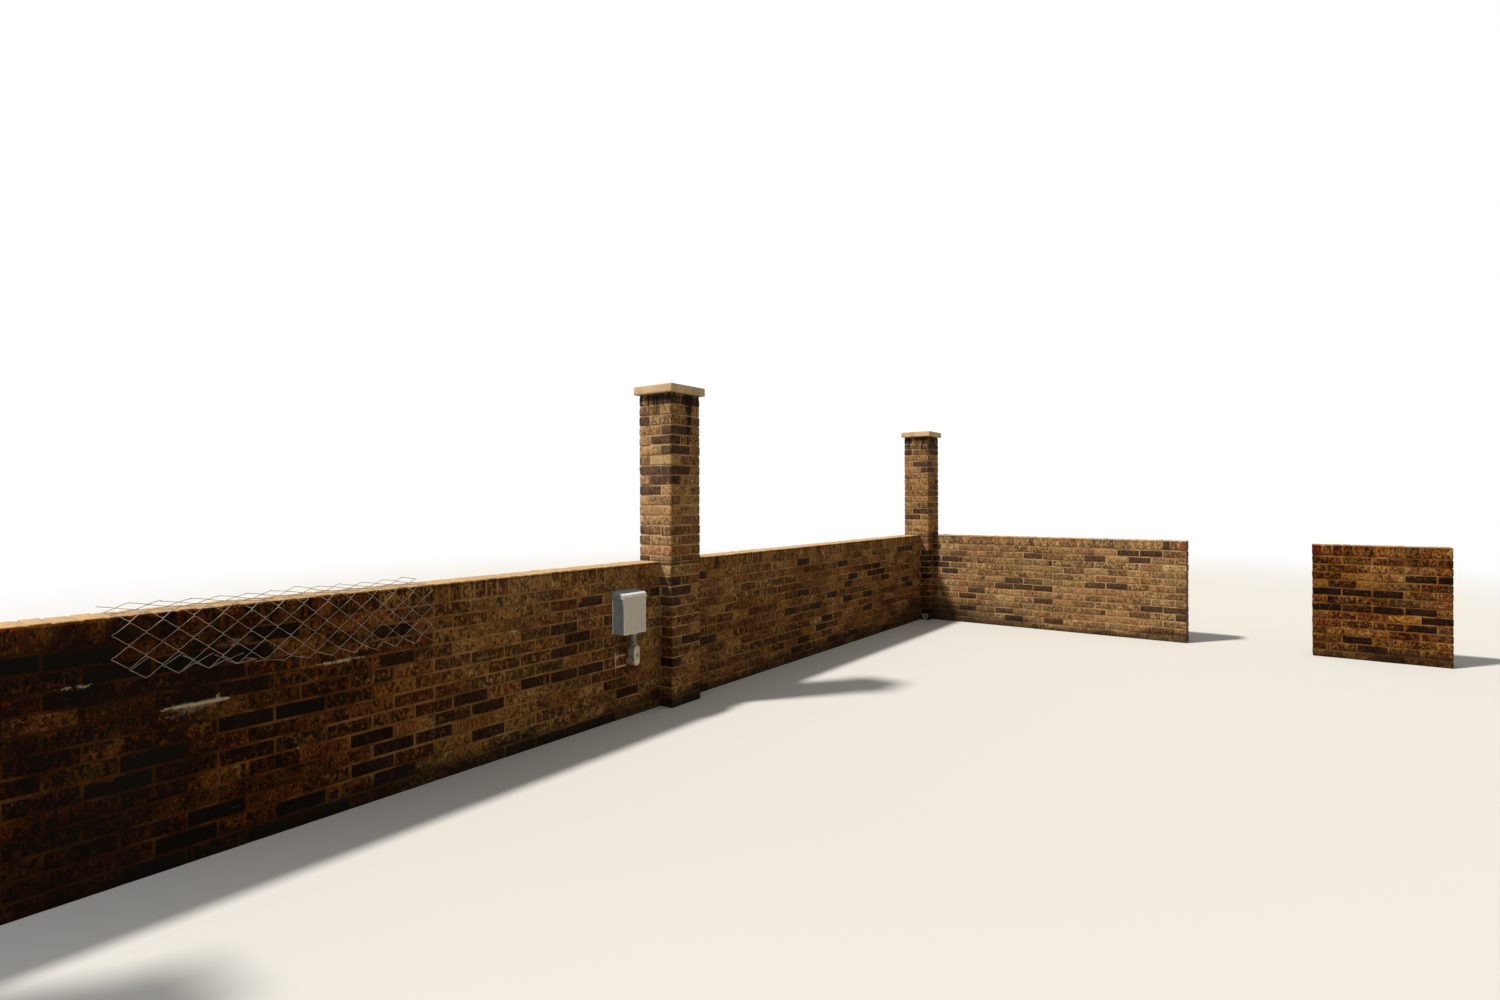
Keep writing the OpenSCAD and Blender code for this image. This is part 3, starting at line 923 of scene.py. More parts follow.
def fired_clay_group(tones):
    """Colour, height and burn of a dragged and mottled brick face."""
    web, _ = new_group("Fired Clay", {}, {"Color": COLOUR, "Height": VALUE, "Burn": VALUE})
    tone = web.layer("tone")
    pick, burn, free = web.channels(tone["Color"])
    other = tone["Alpha"]
    place = web.layer("place")["Vector"]
    grain = web.vector("ADD", place, web.stretch(tone["Color"], (37.0, 53.0, 71.0)))
    cloud, hue, blotch, drag, spots = (
        web.noise(web.stretch(grain, (1, 1, upright)), *look)
        for upright, *look in (CLOUD, HUE, BLOTCH, DRAG, PALE_SPOT)
    )
    speck = web.noise(grain, *SPECK)
    body = web.palette(
        pick, (0.0, tones.tan), (0.17, tones.orange), (0.34, tones.buff), (0.50, tones.rose),
        (0.60, tones.orange), (0.70, tones.rose), (0.84, tones.brown), (0.94, tones.umber),
    )
    patch = web.palette(
        web.calc("FRACT", web.times(free, 5.3)), (0.0, tones.brown), (0.25, tones.orange),
        (0.5, tones.rose), (0.75, tones.umber), (1.0, tones.tan),
    )
    is_red = web.calc("GREATER_THAN", pick, RED_PICK)
    lively = web.calc("SUBTRACT", 1.0, web.times(is_red, 0.8))
    hue = web.line(web.calc("SUBTRACT", free, 0.5), 0.26, hue)
    dragged = web.times(lively, web.fade(other, 0.1, 0.9, 0.45, 1.0))
    mark = web.line(other, -0.16, web.calc("ADD", blotch, 0.075))
    dark = web.mix(web.fade(drag, 0.42, 0.62), tones.umber, tones.fleck)
    face = web.mix(is_red, body, tones.red)
    # Each coat: its colour, mask, where it fades in and how far, and what holds it back
    for coat in (
        (patch, cloud, 0.44, 0.56, 0.9, lively),
        (tones.maroon, hue, 0.53, 0.64, 0.7, lively),
        (tones.olive, hue, 0.45, 0.35, 0.6, lively),
        (tones.drag, drag, 0.50, 0.70, 0.72, dragged),
        (dark, mark, 0.50, 0.58, 0.9, lively),
        (tones.umber, drag, 0.47, 0.32, 0.6),
    ):
        face = web.coat(face, *coat)
    lean = web.times(web.parts(place)[0], web.line(other, 10.0, -5.0))
    reach = web.line(burn, 2.1, web.line(cloud, 1.3, -1.75))
    burnt = web.fade(web.calc("ADD", reach, lean), 0.0, 0.30)
    char = web.coat(tones.flash, darker(tones.flash, 0.42), blotch, 0.40, 0.62)
    char = web.coat(char, tones.umber, drag, 0.55, 0.72, 0.4)
    face = web.mix(web.times(burnt, 0.90), face, char)
    pale = web.times(web.times(web.fade(spots, 0.665, 0.71), burnt), web.fade(other, 0.45, 0.75))
    face = web.mix(web.times(pale, 0.7), face, tones.bloom)
    face = web.coat(face, tones.drag, speck, 0.35, 0.75, 0.25, web.line(burnt, -0.85, 1.0))
    height = web.line(blotch, -0.8, web.line(speck, 0.25, drag))
    web.end({"Color": face, "Height": height, "Burn": burnt})


# Patches, streaks and powder of the weathering: scale, detail and roughness
BROAD = (6, 4, 0.65)
STREAK = (24, 4, 0.62)
POWDER = (60, 4, 0.75)
# Patches, runs and grain of the dirt on the fittings, and the spots of their rust
DIRT_PATCH = (16, 4, 0.6)
DIRT_RUN = (70, 3, 0.6)
DUST = (900, 2, 0.6)
RUST_SPOTS = (130, 3, 0.65)


def weathering_and_shade_group(tones):
    """Lay damp and painted shade, soil, drip stains, paler tops and salts over a colour, by the wear layer of
    the mesh.
    """
    inputs = {"Color": COLOUR, "Soak": VALUE, "Bloom": VALUE}
    web, given = new_group("WeatheringAndShade", inputs, {"Color": COLOUR, "Dirt": VALUE})
    place = web.place()
    wear_and_shade = web.layer("wear_and_shade")
    damp_and_shade, salts, third = web.channels(wear_and_shade["Color"])
    drip = wear_and_shade["Alpha"]
    pale_top = web.fade(third, 0.5, 1.0)
    soil_and_shade = web.times(web.times(third, 2.0), web.calc("LESS_THAN", third, 0.505))
    broad = web.noise(place, *BROAD)
    streak = web.noise(web.stretch(place, (1, 1, 0.16)), *STREAK)
    powder = web.noise(place, *POWDER)
    pale = web.times(pale_top, web.fade(powder, 0.25, 0.6, 0.35, 0.8))
    face = web.mix(pale, given["Color"], tones.pale_top)
    # Damp and painted shade darken the colour through a gamma and a tint
    damp_and_shade = web.times(web.times(damp_and_shade, MOST_DAMP_AND_SHADE), given["Soak"])
    wet = web.line(damp_and_shade, 0.56, web.times(damp_and_shade, web.calc("SUBTRACT", broad, 0.5)))
    deeper = web.calc("ADD", web.calc("MAXIMUM", wet, 0.0), 1.0)
    face = web.node("ShaderNodeGamma", {"Color": face, "Gamma": deeper}).outputs[0]
    face = web.mix(web.calc("MINIMUM", damp_and_shade, 1.0), face, tones.damp_and_shade, "MULTIPLY")
    # Soil, with the painted shade that the near bay's far end takes through it, darkens the colour
    dirt = web.line(soil_and_shade, 1.2, web.line(broad, 0.9, -0.62))
    dirt = web.fade(dirt, 0.0, 0.9, 0, 0.7)
    face = web.mix(dirt, face, tones.soil_and_shade)
    run_down = web.line(drip, 2.3, web.line(streak, 2.8, -3.0))
    run_down = web.times(web.fade(run_down, -0.1, 0.8, 0, 0.92), web.fade(drip, 0.0, 0.1))
    face = web.mix(run_down, face, darker(tones.soil_and_shade, 0.5))
    white = web.line(salts, 0.55, web.calc("SUBTRACT", powder, 0.92))
    face = web.coat(face, tones.bloom, white, 0.0, 0.20, 1.0, given["Bloom"])
    web.end({"Color": face, "Dirt": web.calc("MAXIMUM", dirt, run_down)})


def grime_group():
    """Dirt and wear of the fittings: a colour over another, and how rough it gets."""
    inputs = {"Color": COLOUR, "Faded": COLOUR, "Dirt": COLOUR, "Amount": VALUE}
    web, given = new_group("Grime", inputs, {"Color": COLOUR, "Roughness": VALUE, "Height": VALUE})
    place = web.place()
    patch = web.noise(place, *DIRT_PATCH)
    run = web.noise(web.stretch(place, (1, 1, 0.1)), *DIRT_RUN)
    grain = web.noise(place, *DUST)
    face = web.coat(given["Color"], given["Faded"], patch, 0.40, 0.62, 0.8)
    dirt = web.line(patch, 0.5, web.times(run, 0.5))
    dirt = web.times(web.fade(dirt, 0.48, 0.66), given["Amount"])
    web.end({
        "Color": web.mix(dirt, face, given["Dirt"]),
        "Roughness": web.line(dirt, 0.35, web.line(patch, 0.2, 0.35)),
        "Height": web.line(grain, 0.2, patch),
    })


def foot_rust_group():
    """Mask of rust spots that gather near a height, such as the foot of a sheet cover."""
    web, given = new_group("Foot Rust", {"Height": VALUE, "Band": VALUE}, {"Mask": VALUE})
    place = web.place()
    away = web.calc("ABSOLUTE", web.calc("SUBTRACT", web.parts(place)[2], given["Height"]))
    near = web.calc("SUBTRACT", 1.0, web.calc("DIVIDE", away, given["Band"]), use_clamp=True)
    mask = web.line(near, 0.30, web.calc("SUBTRACT", web.noise(place, *RUST_SPOTS), 0.86))
    web.end({"Mask": web.fade(mask, 0.0, 0.06)})


# Materials


# Specular level of brick and mortar, and of stone
DULL = 0.06
STONE_GLOSS = 0.3
# Depths of the bumps of each finish
BRICK_BUMP = 0.0022
MORTAR_BUMP = 0.0014
STONE_BUMP = 0.0012
FITTING_BUMP = (0.0004, 0.6)
# Ragged edge of mortar smeared over a brick, clouds of the mortar and the stone, and streaks of the
# stone: scale, detail and roughness
SMEAR = (75, 3, 0.6)
WALL_CLOUD = (2.2, 4, 0.6)
SMALL_CLOUD = (9, 5, 0.65)
STONE_STREAK = (38, 3, 0.6)
# Height of the band of rust at the foot of the box's cover
RUST_BAND = 0.02
# How far from the corner pier the floor starts to turn white, and where it is all white
FLOOR_ENDS = (5.5, 15.0)


def new_material(name, preview):
    """Web of a new material that ends in its Principled shader."""
    material = bpy.data.materials.new(name)
    material.use_nodes = True
    material.diffuse_color = (*preview[:3], 1)
    return Web(material.node_tree, material.node_tree.nodes["Principled BSDF"])


def brick_material(tones):
    web = new_material("fired_brick", tones.brown)
    clay = web.use("Fired Clay")
    arris = web.use("Arris Distance")["Distance"]
    ragged = web.line(web.noise(web.place(), *SMEAR), -0.014, web.calc("ADD", arris, 0.0078))
    face = web.coat(clay["Color"], tones.mortar, ragged, 0.0006, -0.0020, 0.45)
    web.end({
        "Base Color": web.use("WeatheringAndShade", Color=face, Soak=1.0, Bloom=0.25)["Color"],
        "Roughness": web.line(clay["Burn"], -0.12, 0.90),
        "Normal": web.bump(clay["Height"], BRICK_BUMP),
        "Specular IOR Level": DULL,
    })


def mortar_material(tones):
    web = new_material("raked_mortar", tones.mortar)
    place = web.place()
    grit = web.use("Grit", Place=place)["Height"]
    face = web.coat(tones.mortar, tones.brown, web.noise(place, *WALL_CLOUD), 0.42, 0.62, 0.4)
    face = web.coat(face, tones.brown, web.noise(place, *SMALL_CLOUD), 0.40, 0.66, 0.6)
    face = web.mix(web.fade(grit, 0.35, 0.9, 0.3, 0.0), face, tones.brown)
    web.end({
        "Base Color": web.use("WeatheringAndShade", Color=face, Soak=1.1, Bloom=0.9)["Color"],
        "Roughness": web.fade(grit, 0.2, 1.0, 0.98, 0.86),
        "Normal": web.bump(grit, MORTAR_BUMP),
        "Specular IOR Level": DULL,
    })


def stone_material(stone):
    web = new_material("cast_stone", stone.stone)
    place = web.place()
    grit = web.use("Grit", Place=place)
    cloud = web.noise(place, *SMALL_CLOUD)
    streak = web.noise(web.stretch(place, (1, 1, 0.25)), *STONE_STREAK)
    face = web.coat(stone.stone, stone.pale, cloud, 0.38, 0.66)
    face = web.coat(face, stone.stain, streak, 0.52, 0.72, 0.45)
    face = web.mix(web.times(grit["Pits"], 0.55), face, stone.stain)
    up = web.parts(web.node("ShaderNodeNewGeometry").outputs["Normal"])[2]
    weathered_top = web.times(web.fade(up, 0.3, 0.8), web.fade(cloud, 0.42, 0.62, 0.15, 0.6))
    web.end({
        "Base Color": web.mix(weathered_top, face, stone.stain),
        "Roughness": web.fade(cloud, 0.3, 0.7, 0.92, 0.78),
        "Normal": web.bump(grit["Height"], STONE_BUMP),
        "Specular IOR Level": STONE_GLOSS,
    })


def fitting_material(name, base, faded, dirt, amount, rough=None, metal=0.0, rust=None, foot=0.0, front=None):
    """Painted, plastic or metal finish with fading, dirt, and rust near its foot, or with a front painted
    paler as lit while the sides keep the darker paint as shaded.
    """
    web = new_material(name, base)
    if front is not None:
        # Painted light: faces that look towards -Y take the paler colour, as if lit, while the sides keep the
        # darker paint, as if in shade
        towards = web.parts(web.node("ShaderNodeNewGeometry").outputs["Normal"])[1]
        base = web.coat(base, front, web.times(towards, -1.0), 0.5, 0.85)
        faded = web.mix(0.14, base, (1, 1, 1))
    grime = web.use("Grime", Color=base, Faded=faded, Dirt=dirt, Amount=amount)
    face = grime["Color"]
    if rust is not None:
        face = web.mix(web.use("Foot Rust", Height=foot, Band=RUST_BAND)["Mask"], face, rust)
    web.end({
        "Base Color": face,
        "Roughness": grime["Roughness"] if rough is None else rough,
        "Metallic": metal,
        "Normal": web.bump(grime["Height"], *FITTING_BUMP),
    })


def floor_material(stage):
    """Floor that shows pale and keeps the wall's shadow, lights the wall less, and ends in white."""
    web = new_material("floor", stage.floor)
    seen = web.seen()
    web.end({
        "Base Color": web.mix(seen, stage.floor_bounce, stage.floor),
        "Roughness": 0.9,
        "Specular IOR Level": 0.1,
    })
    away = web.node("ShaderNodeVectorMath", {0: web.place()}, operation="LENGTH").outputs["Value"]
    far = web.times(web.fade(away, *FLOOR_ENDS), seen)
    white = web.node("ShaderNodeEmission", {"Color": (1, 1, 1), "Strength": 1.0})
    blend = web.node("ShaderNodeMixShader", {0: far, 1: web.last.outputs[0], 2: white.outputs[0]})
    web.feed(web.tree.nodes["Material Output"], {"Surface": blend.outputs[0]})


# Fittings


def round_edges(shape, edges, radius, profile=0.5):
    """Bevel edges of a bmesh in two steps."""
    bmesh.ops.bevel(
        shape, geom=list(edges), offset=radius, offset_type="OFFSET", segments=2, profile=profile,
        affect="EDGES", clamp_overlap=True,
    )


def edges_of(verts):
    """Edges at these points, each once and in a steady order."""
    return dict.fromkeys(edge for vert in verts for edge in vert.link_edges)


# Least angle of an edge that is rounded, and the greatest area of a face that is shaded smooth
SHARP = math.radians(35)
SMOOTH_AREA = 4e-4


def softened(node, radius):
    """Copy of a solid of the frame with its flat faces merged and its sharp edges rounded."""
    shape = bmesh.new()
    shape.from_mesh(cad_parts[node].data)
    bmesh.ops.remove_doubles(shape, verts=shape.verts, dist=1e-5)
    bmesh.ops.dissolve_limit(shape, angle_limit=math.radians(1), verts=shape.verts, edges=shape.edges)
    sharp = [e for e in shape.edges if len(e.link_faces) == 2 and e.calc_face_angle() > SHARP]
    round_edges(shape, sharp, radius)
    for face in shape.faces:
        face.smooth = face.calc_area() < SMOOTH_AREA
    return mesh_object(f"{node}_shell", shape)


def add_box(shape, low, high, radius):
    """Add a box with rounded edges to a bmesh."""
    made = bmesh.ops.create_cube(shape, size=1)["verts"]
    low, high = Vector(low), Vector(high)
    bmesh.ops.scale(shape, vec=high - low, verts=made)
    bmesh.ops.translate(shape, vec=(low + high) / 2, verts=made)
    round_edges(shape, edges_of(made), radius)


def band(name, outline, place, back, front):
    """Flat band with this outline, from a depth behind a face to one in front of it."""
    shape = bmesh.new()
    near, far = ([shape.verts.new(place(*spot, depth)) for spot in outline] for depth in (front, back))
    shape.faces.new(near)
    shape.faces.new(far[::-1])
    for i, vert in enumerate(near):
        shape.faces.new((vert, far[i], far[i - 1], near[i - 1]))
    bmesh.ops.recalc_face_normals(shape, faces=shape.faces)
    return mesh_object(name, shape)


# Shares of a screw head's width: its height, the radius of its top, and its slot's length and width
HEAD = (0.32, 0.36, 0.72, 0.12)


def add_screw(shape, place, head, turn):
    """Add a slotted pan head that looks towards -Y."""
    rise, crown, slot_long, slot_wide = (share * head for share in HEAD)
    turned = Matrix.Translation(place) @ Matrix.Rotation(QUARTER_TURN, 4, "X")
    made = bmesh.ops.create_cone(
        shape, cap_ends=True, segments=24, radius1=head / 2, radius2=crown, depth=rise,
        matrix=turned @ Matrix.Translation((0, 0, rise / 2)),
    )["verts"]
    top = max((f for v in made for f in v.link_faces), key=lambda f: -f.calc_center_median().y)
    slot = bmesh.ops.create_cube(shape, size=1)["verts"]
    bmesh.ops.scale(shape, vec=(slot_long, rise * 0.3, slot_wide), verts=slot)
    bmesh.ops.rotate(shape, cent=(0, 0, 0), matrix=Matrix.Rotation(turn, 3, "Y"), verts=slot)
    bmesh.ops.translate(shape, vec=top.calc_center_median(), verts=slot)


# Woven wire


def tube(line, radius, sides):
    """Points and faces of a round wire along a line, closed at both ends."""
    line = np.asarray(line, float)
    ahead = np.gradient(line, axis=0)
    ahead /= np.linalg.norm(ahead, axis=1, keepdims=True)
    side = np.cross(ahead[0], [0.31, 0.77, 0.55])
    angles = np.arange(sides) * 2 * math.pi / sides
    rings = []
    for point, direction in zip(line, ahead):
        side = side - direction * np.dot(side, direction)
        side /= np.linalg.norm(side)
        up = np.cross(direction, side)
        rings.append(point + radius * (np.cos(angles)[:, None] * side + np.sin(angles)[:, None] * up))
    points = np.concatenate(rings + [line[:1], line[-1:]])
    first, count = np.arange(sides), len(line) * sides
    second = (first + 1) % sides
    ring = np.stack([first, second, second + sides, first + sides], -1)
    quads = (ring[None] + np.arange(len(line) - 1)[:, None, None] * sides).reshape(-1, 4)
    last = count - sides
    near = np.stack([np.full(sides, count), second, first], -1)
    far = np.stack([np.full(sides, count + 1), last + first, last + second], -1)
    return points, quads, np.concatenate([near, far])


FABRIC_SHIFT = 0.013
ROWS_DOWN = 7
TOP_ROWS = 4
BEND = 0.009
# Rows of the wires at the near corner: two are cut short, and the hem of the rest is folded up
CORNER_ROWS = (5, 8, 6, 8, 8, 8, 8, 8, 8)
FOLD_DROP = 0.245
# Angles that the hem is folded out by, at the wires of the next list
FOLD_ANGLES = (2.85, 2.75, 2.25, 1.45, 1.0, 0.5)
FOLD_WIRES = (0, 3, 7, 10, 15, 24)
# The fabric stands off the wall just below the arris
BULGE = 0.011
BULGE_DROPS = (0.006, 0.036, 0.110)
# Steps along a wire between two turns, and how far across it is at each
EASES = ((0.0, 0.0), (0.07, 0.03), (0.2, 0.2), (0.5, 0.5), (0.8, 0.8), (0.93, 0.97))
# Shares of the wire's thickness: how far the fabric lies off the wall, and its hooks off their line
CLEAR = 0.9
HOOK = 0.55
SPRING_STRAY = (0.8, 1.2)
WIRE_SIDES = 7
# Cut end of a wire past the side of the fabric: how far out, down and off the wall it is
STRAY_END = ((-0.002, 0.212, 0.010), (0.012, 0.222, 0.012), (0.028, 0.232, 0.016), (0.040, 0.243, 0.021))


class Fabric:
    """Strip of woven wire that is bent over the near arris of the coping."""

    def __init__(self, wire):
        self.wire = wire
        low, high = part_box("wire_mesh_front")
        coping_low, coping_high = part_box("near_bay_coping")
        self.face_y, self.top_z = coping_low.y, coping_high.z
        self.start_x, self.side_x = low.x + wire.thick / 2, high.x
        self.half_span = (high.x - low.x - wire.thick) / wire.wires

    def place(self, along, drop, depth, fold, spring):
        """Place of a point: drop is below the near arris, or behind it when negative."""
        y, z = self.face_y, self.top_z
        clear = self.wire.thick * CLEAR
        wander = soft_noise(np.array([along, drop * 0.6, 0.3]), 0.16, 11)
        corner = BEND * math.pi / 4
        if drop > corner:
            folded = max(0.0, drop - FOLD_DROP)
            drop = min(drop, FOLD_DROP)
            first, full, last = BULGE_DROPS
            bulge = BULGE * smooth_step(first, full, drop) * (1 - smooth_step(full, last, drop))
            lift = self.wire.lift * wander * min(1.0, drop / FOLD_DROP) ** 1.4
            stand = clear + bulge + lift + folded * math.sin(fold)
            return along, y - stand - depth, z + clear + BEND / 2 - drop - folded * math.cos(fold)
        if drop > -corner:
            turn = (drop + corner) / (2 * corner) * math.pi / 2
            reach = BEND / 2 + clear + depth
            down = BEND / 2 - clear
            return along, y + BEND / 2 - reach * math.sin(turn), z - down + reach * math.cos(turn)
        back = -drop
        up = clear + depth + 0.006 * wander * min(1.0, back / 0.03)
        up += spring * (0.7 + 0.6 * wander) * smooth_step(0.08, 0.19, back)
        return along, y + back, z + up + clear

    def line(self, index, spring):
        """Zigzag of one wire of the weave, hooked through its neighbours at every turn."""
        thick = self.wire.thick
        fold = float(np.interp(index, FOLD_WIRES, FOLD_ANGLES))
        points = []
        rows_down = CORNER_ROWS[index] if index < len(CORNER_ROWS) else ROWS_DOWN
        for row in range(-TOP_ROWS, rows_down):
            right = (row + index) % 2
            for part, ease in EASES:
                swing = 1 - ease if right else ease
                hook = thick * HOOK * (1 - abs(2 * swing - 1) < 0.15)
                x = self.start_x + (index + swing) * self.half_span + (hook if swing > 0.5 else -hook)
                depth = thick * 0.5 * max(-1.0, min(1.0, 2.6 * math.sin(math.pi * part)))
                drop = (row + part) * self.wire.rise - FABRIC_SHIFT
                points.append(self.place(x, drop, depth if right else -depth, fold, spring))
        return points


# Operators


class MixFinishes(bpy.types.Operator):
    """Build the node groups and the materials of every finish"""

    bl_idname = "garden_wall.mix_finishes"
    bl_label = "Mix Finishes"

    def execute(self, context):
        tones = context.scene.wall_colours
        made = context.scene.wall_fittings
        wire = context.scene.wall_wire
        for build in (arris_distance_group, grit_group, grime_group, foot_rust_group):
            build()
        for build in (fired_clay_group, weathering_and_shade_group, brick_material, mortar_material):
            build(tones)
        stone_material(context.scene.wall_stone)
        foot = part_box("box_cover")[0].z
        # The box's paint takes a front painted paler as lit
        rusty = {"rust": made.rust, "foot": foot, "front": made.faded_and_lit_paint}
        for name, base, faded, dirt, amount, more in (
            ("chalky_paint_lit_front", made.paint, made.faded_and_lit_paint, made.grime, 0.13, rusty),
            ("painted_highlight_lip", made.sunlit, made.edge, made.grime, 0.05, {}),
            ("worn_edge_and_highlight", made.edge, made.faded_and_lit_paint, made.grime, 0.1, {}),
            ("cream_plastic", made.plastic, made.grime, made.moss, 0.85, {}),
            # The elbow's cover is painted paler than its own cream, as lit
            ("yellowed_and_lit_plate", made.plate, made.faded_and_lit_paint, made.grime, 0.35, {}),
            ("white_pipe", made.pipe, made.plastic, made.grime, 0.6, {}),
            ("dark_rubber", made.rubber, made.grime, made.grime, 0.5, {}),
            ("screw_steel", made.steel, made.grime, made.rust, 0.8, {"metal": 0.9}),
            ("zinc_wire", wire.zinc, wire.dull, made.rust, 0.2, {"rough": 0.5, "metal": 0.35}),
        ):
            fitting_material(name, base, faded, dirt, amount, **more)
        return {"FINISHED"}


class LayWalls(bpy.types.Operator):
    """Lay the stretchers and the mortar of every length of wall"""

    bl_idname = "garden_wall.lay_walls"
    bl_label = "Lay Walls"

    def execute(self, context):
        sizes = context.scene.wall_bricks
        for seed, run in enumerate(wall_runs(), WALL_SEED):
            courses = Courses(sizes, seed, sizes.flashed)
            lay_run(run, courses, sizes)
            settle(courses.build(f"{run.name}_bricks"), "brick", "fired_brick", run.wall)
            block = run_mortar(run, sizes, 0.0, run.coping_low.z, sizes.rake)
            settle(mortar_piece(run.name, block, True), "mortar", "raked_mortar", run.wall)
        return {"FINISHED"}


class LayCopings(bpy.types.Operator):
    """Lay the bricks on edge that cope the walls"""

    bl_idname = "garden_wall.lay_copings"
    bl_label = "Lay Copings"

    def execute(self, context):
        sizes = context.scene.wall_bricks
        for seed, run in enumerate(wall_runs(), COPING_SEED):
            courses = Courses(sizes, seed, sizes.coping_flashed, COPING_SPAN)
            lay_coping(run, courses, sizes)
            settle(courses.build(f"{run.coping}_bricks"), "coping_brick", "fired_brick", run.coping)
            top = run.coping_high.z - sizes.rake
            block = run_mortar(run, sizes, run.coping_low.z, top, sizes.rake * 2)
            settle(mortar_piece(run.coping, block), "mortar", "raked_mortar", run.coping)
        return {"FINISHED"}


# Gap round the drain pipe, radius of its rim, and the sides of the hole that it passes through
DRAIN_GAP = 0.0015
DRAIN_ARRIS = 0.0012
HOLE_SIDES = 64


class LayPiers(bpy.types.Operator):
    """Lay the bricks and mortar of the piers, with the drain pipe's hole in the corner pier's foot"""

    bl_idname = "garden_wall.lay_piers"
    bl_label = "Lay Piers"

    def execute(self, context):
        sizes = context.scene.wall_bricks
        foot, foot_top = "corner_pier_foot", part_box("corner_pier_foot")[1].z
        foot_courses = self.courses(foot_top, sizes)
        for seed, pier in enumerate(PIERS, PIER_SEED):
            first, start = (foot_courses, foot_top) if pier == "corner_pier" else (0, 0.0)
            bricks, mortar = self.shaft(pier, sizes, seed, first, start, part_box(f"{pier}_cap")[0].z)
            settle(bricks, "brick", "fired_brick", pier)
            settle(mortar, "mortar", "raked_mortar", pier, f"{pier}_bed")
        bricks, mortar = self.shaft(foot, sizes, FOOT_SEED, 0, 0.0, foot_top)
        self.drill(bricks, mortar)
        settle(bricks, "brick", "fired_brick", foot)
        settle(mortar, "mortar", "raked_mortar", foot)
        return {"FINISHED"}

    def courses(self, top, sizes):
        """Courses up to a height."""
        return round((top + sizes.joint) / sizes.rise)

    def shaft(self, node, sizes, seed, first, low_z, high_z):
        """Bricks of a pier from a course up, and its mortar between two heights."""
        low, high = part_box(node)
        courses = Courses(sizes, seed, sizes.pier_flashed)
        lay_pier(middle_of(node)[:2], courses, sizes, first, self.courses(high.z, sizes))
        rake = sizes.rake
        block = mortar_block(
            (low.x + rake, low.y + rake, low_z), (high.x - rake, high.y - rake, high_z), sizes, PIER_STEP
        )
        return courses.build(f"{node}_bricks"), mortar_piece(node, block)

    def drill(self, *pieces):
        """Cut the drain pipe's hole through these pieces."""
        low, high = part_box("drain_pipe")
        radius = (high.z - low.z) / 2 + DRAIN_GAP
        shape = bmesh.new()
        bmesh.ops.create_cone(
            shape, cap_ends=True, segments=HOLE_SIDES, radius1=radius, radius2=radius, depth=1.0,
            matrix=Matrix.Translation(middle_of("drain_pipe")) @ Matrix.Rotation(QUARTER_TURN, 4, "Y"),
        )
        cutter = mesh_object("drain_cutter", shape)
        for piece in pieces:
            cut = piece.modifiers.new("hole", "BOOLEAN")
            cut.operation = "DIFFERENCE"
            cut.solver = "EXACT"
            cut.object = cutter
            graph = bpy.context.evaluated_depsgraph_get()
            holed = bpy.data.meshes.new_from_object(piece.evaluated_get(graph), depsgraph=graph)
            piece.modifiers.clear()
            piece.data = holed
        bpy.data.objects.remove(cutter)


# Cuts along the sides of a cap, shares of its arris' radius, its hollows, and size and edge of its bites
CAP_CUTS = (26, 26, 5)
CAP_WEAR = (0.6, 0.8)
CAP_HOLLOWS = ((0.06, 13, 0.7), (0.014, 14, 0.3))
BITE_SIZE = 0.022
BITE_EDGE = (0.74, 0.9)


class SetCaps(bpy.types.Operator):
    """Set the worn stone caps on the piers"""

    bl_idname = "garden_wall.set_caps"
    bl_label = "Set Caps"

    def execute(self, context):
        stone = context.scene.wall_stone
        for seed, pier in enumerate(PIERS):
            low, high = (np.array(corner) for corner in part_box(f"{pier}_cap"))
            size = high - low
            cuts = [rim_cuts(side, stone.arris, inner) for side, inner in zip(size, CAP_CUTS)]
            points, quads, tris = box_shell(cuts)
            spot = points + seed * 3.7
            least, more = CAP_WEAR
            radius = stone.arris * (least + more * soft_noise(spot, 0.05, 12))[:, None]
            inner = np.clip(points, radius, size - radius)
            out = points - inner
            out /= np.linalg.norm(out, axis=1, keepdims=True)
            hollow = layered_noise(spot, CAP_HOLLOWS)
            points = inner + out * (radius - stone.relief * hollow[:, None])
            on_rim = np.sort(np.minimum(points, size - points), 1)[:, 1] < stone.arris
            bite = smooth_step(*BITE_EDGE, soft_noise(spot, BITE_SIZE, 15)) * on_rim * stone.bite
            points -= out * bite[:, None]
            cap = build_mesh(f"{pier}_cap_stone", points + low, quads, tris)
            settle(cap, "cap_stone", "cast_stone", f"{pier}_cap")
        return {"FINISHED"}


# Depths to which the trim is sunk in, radii of its edges, and its grips and gaps at its neighbours
LIP_SUNK = -0.0006
HEM_SUNK = -0.001
HEM_INSET = 0.0004
HEM_GAP = 0.0005
HUB_ARRIS = 0.002
FLANGE_THICK = 0.002
FLANGE_ARRIS = 0.0006
# Dark strips of painted shade under the hood's cheeks
SHADE_STRIP_BACK = 0.006
SHADE_STRIP_ARRIS = 0.0004
SHADE_STRIP_GRIP = 0.001
SHADE_STRIP_GAP = 0.0002


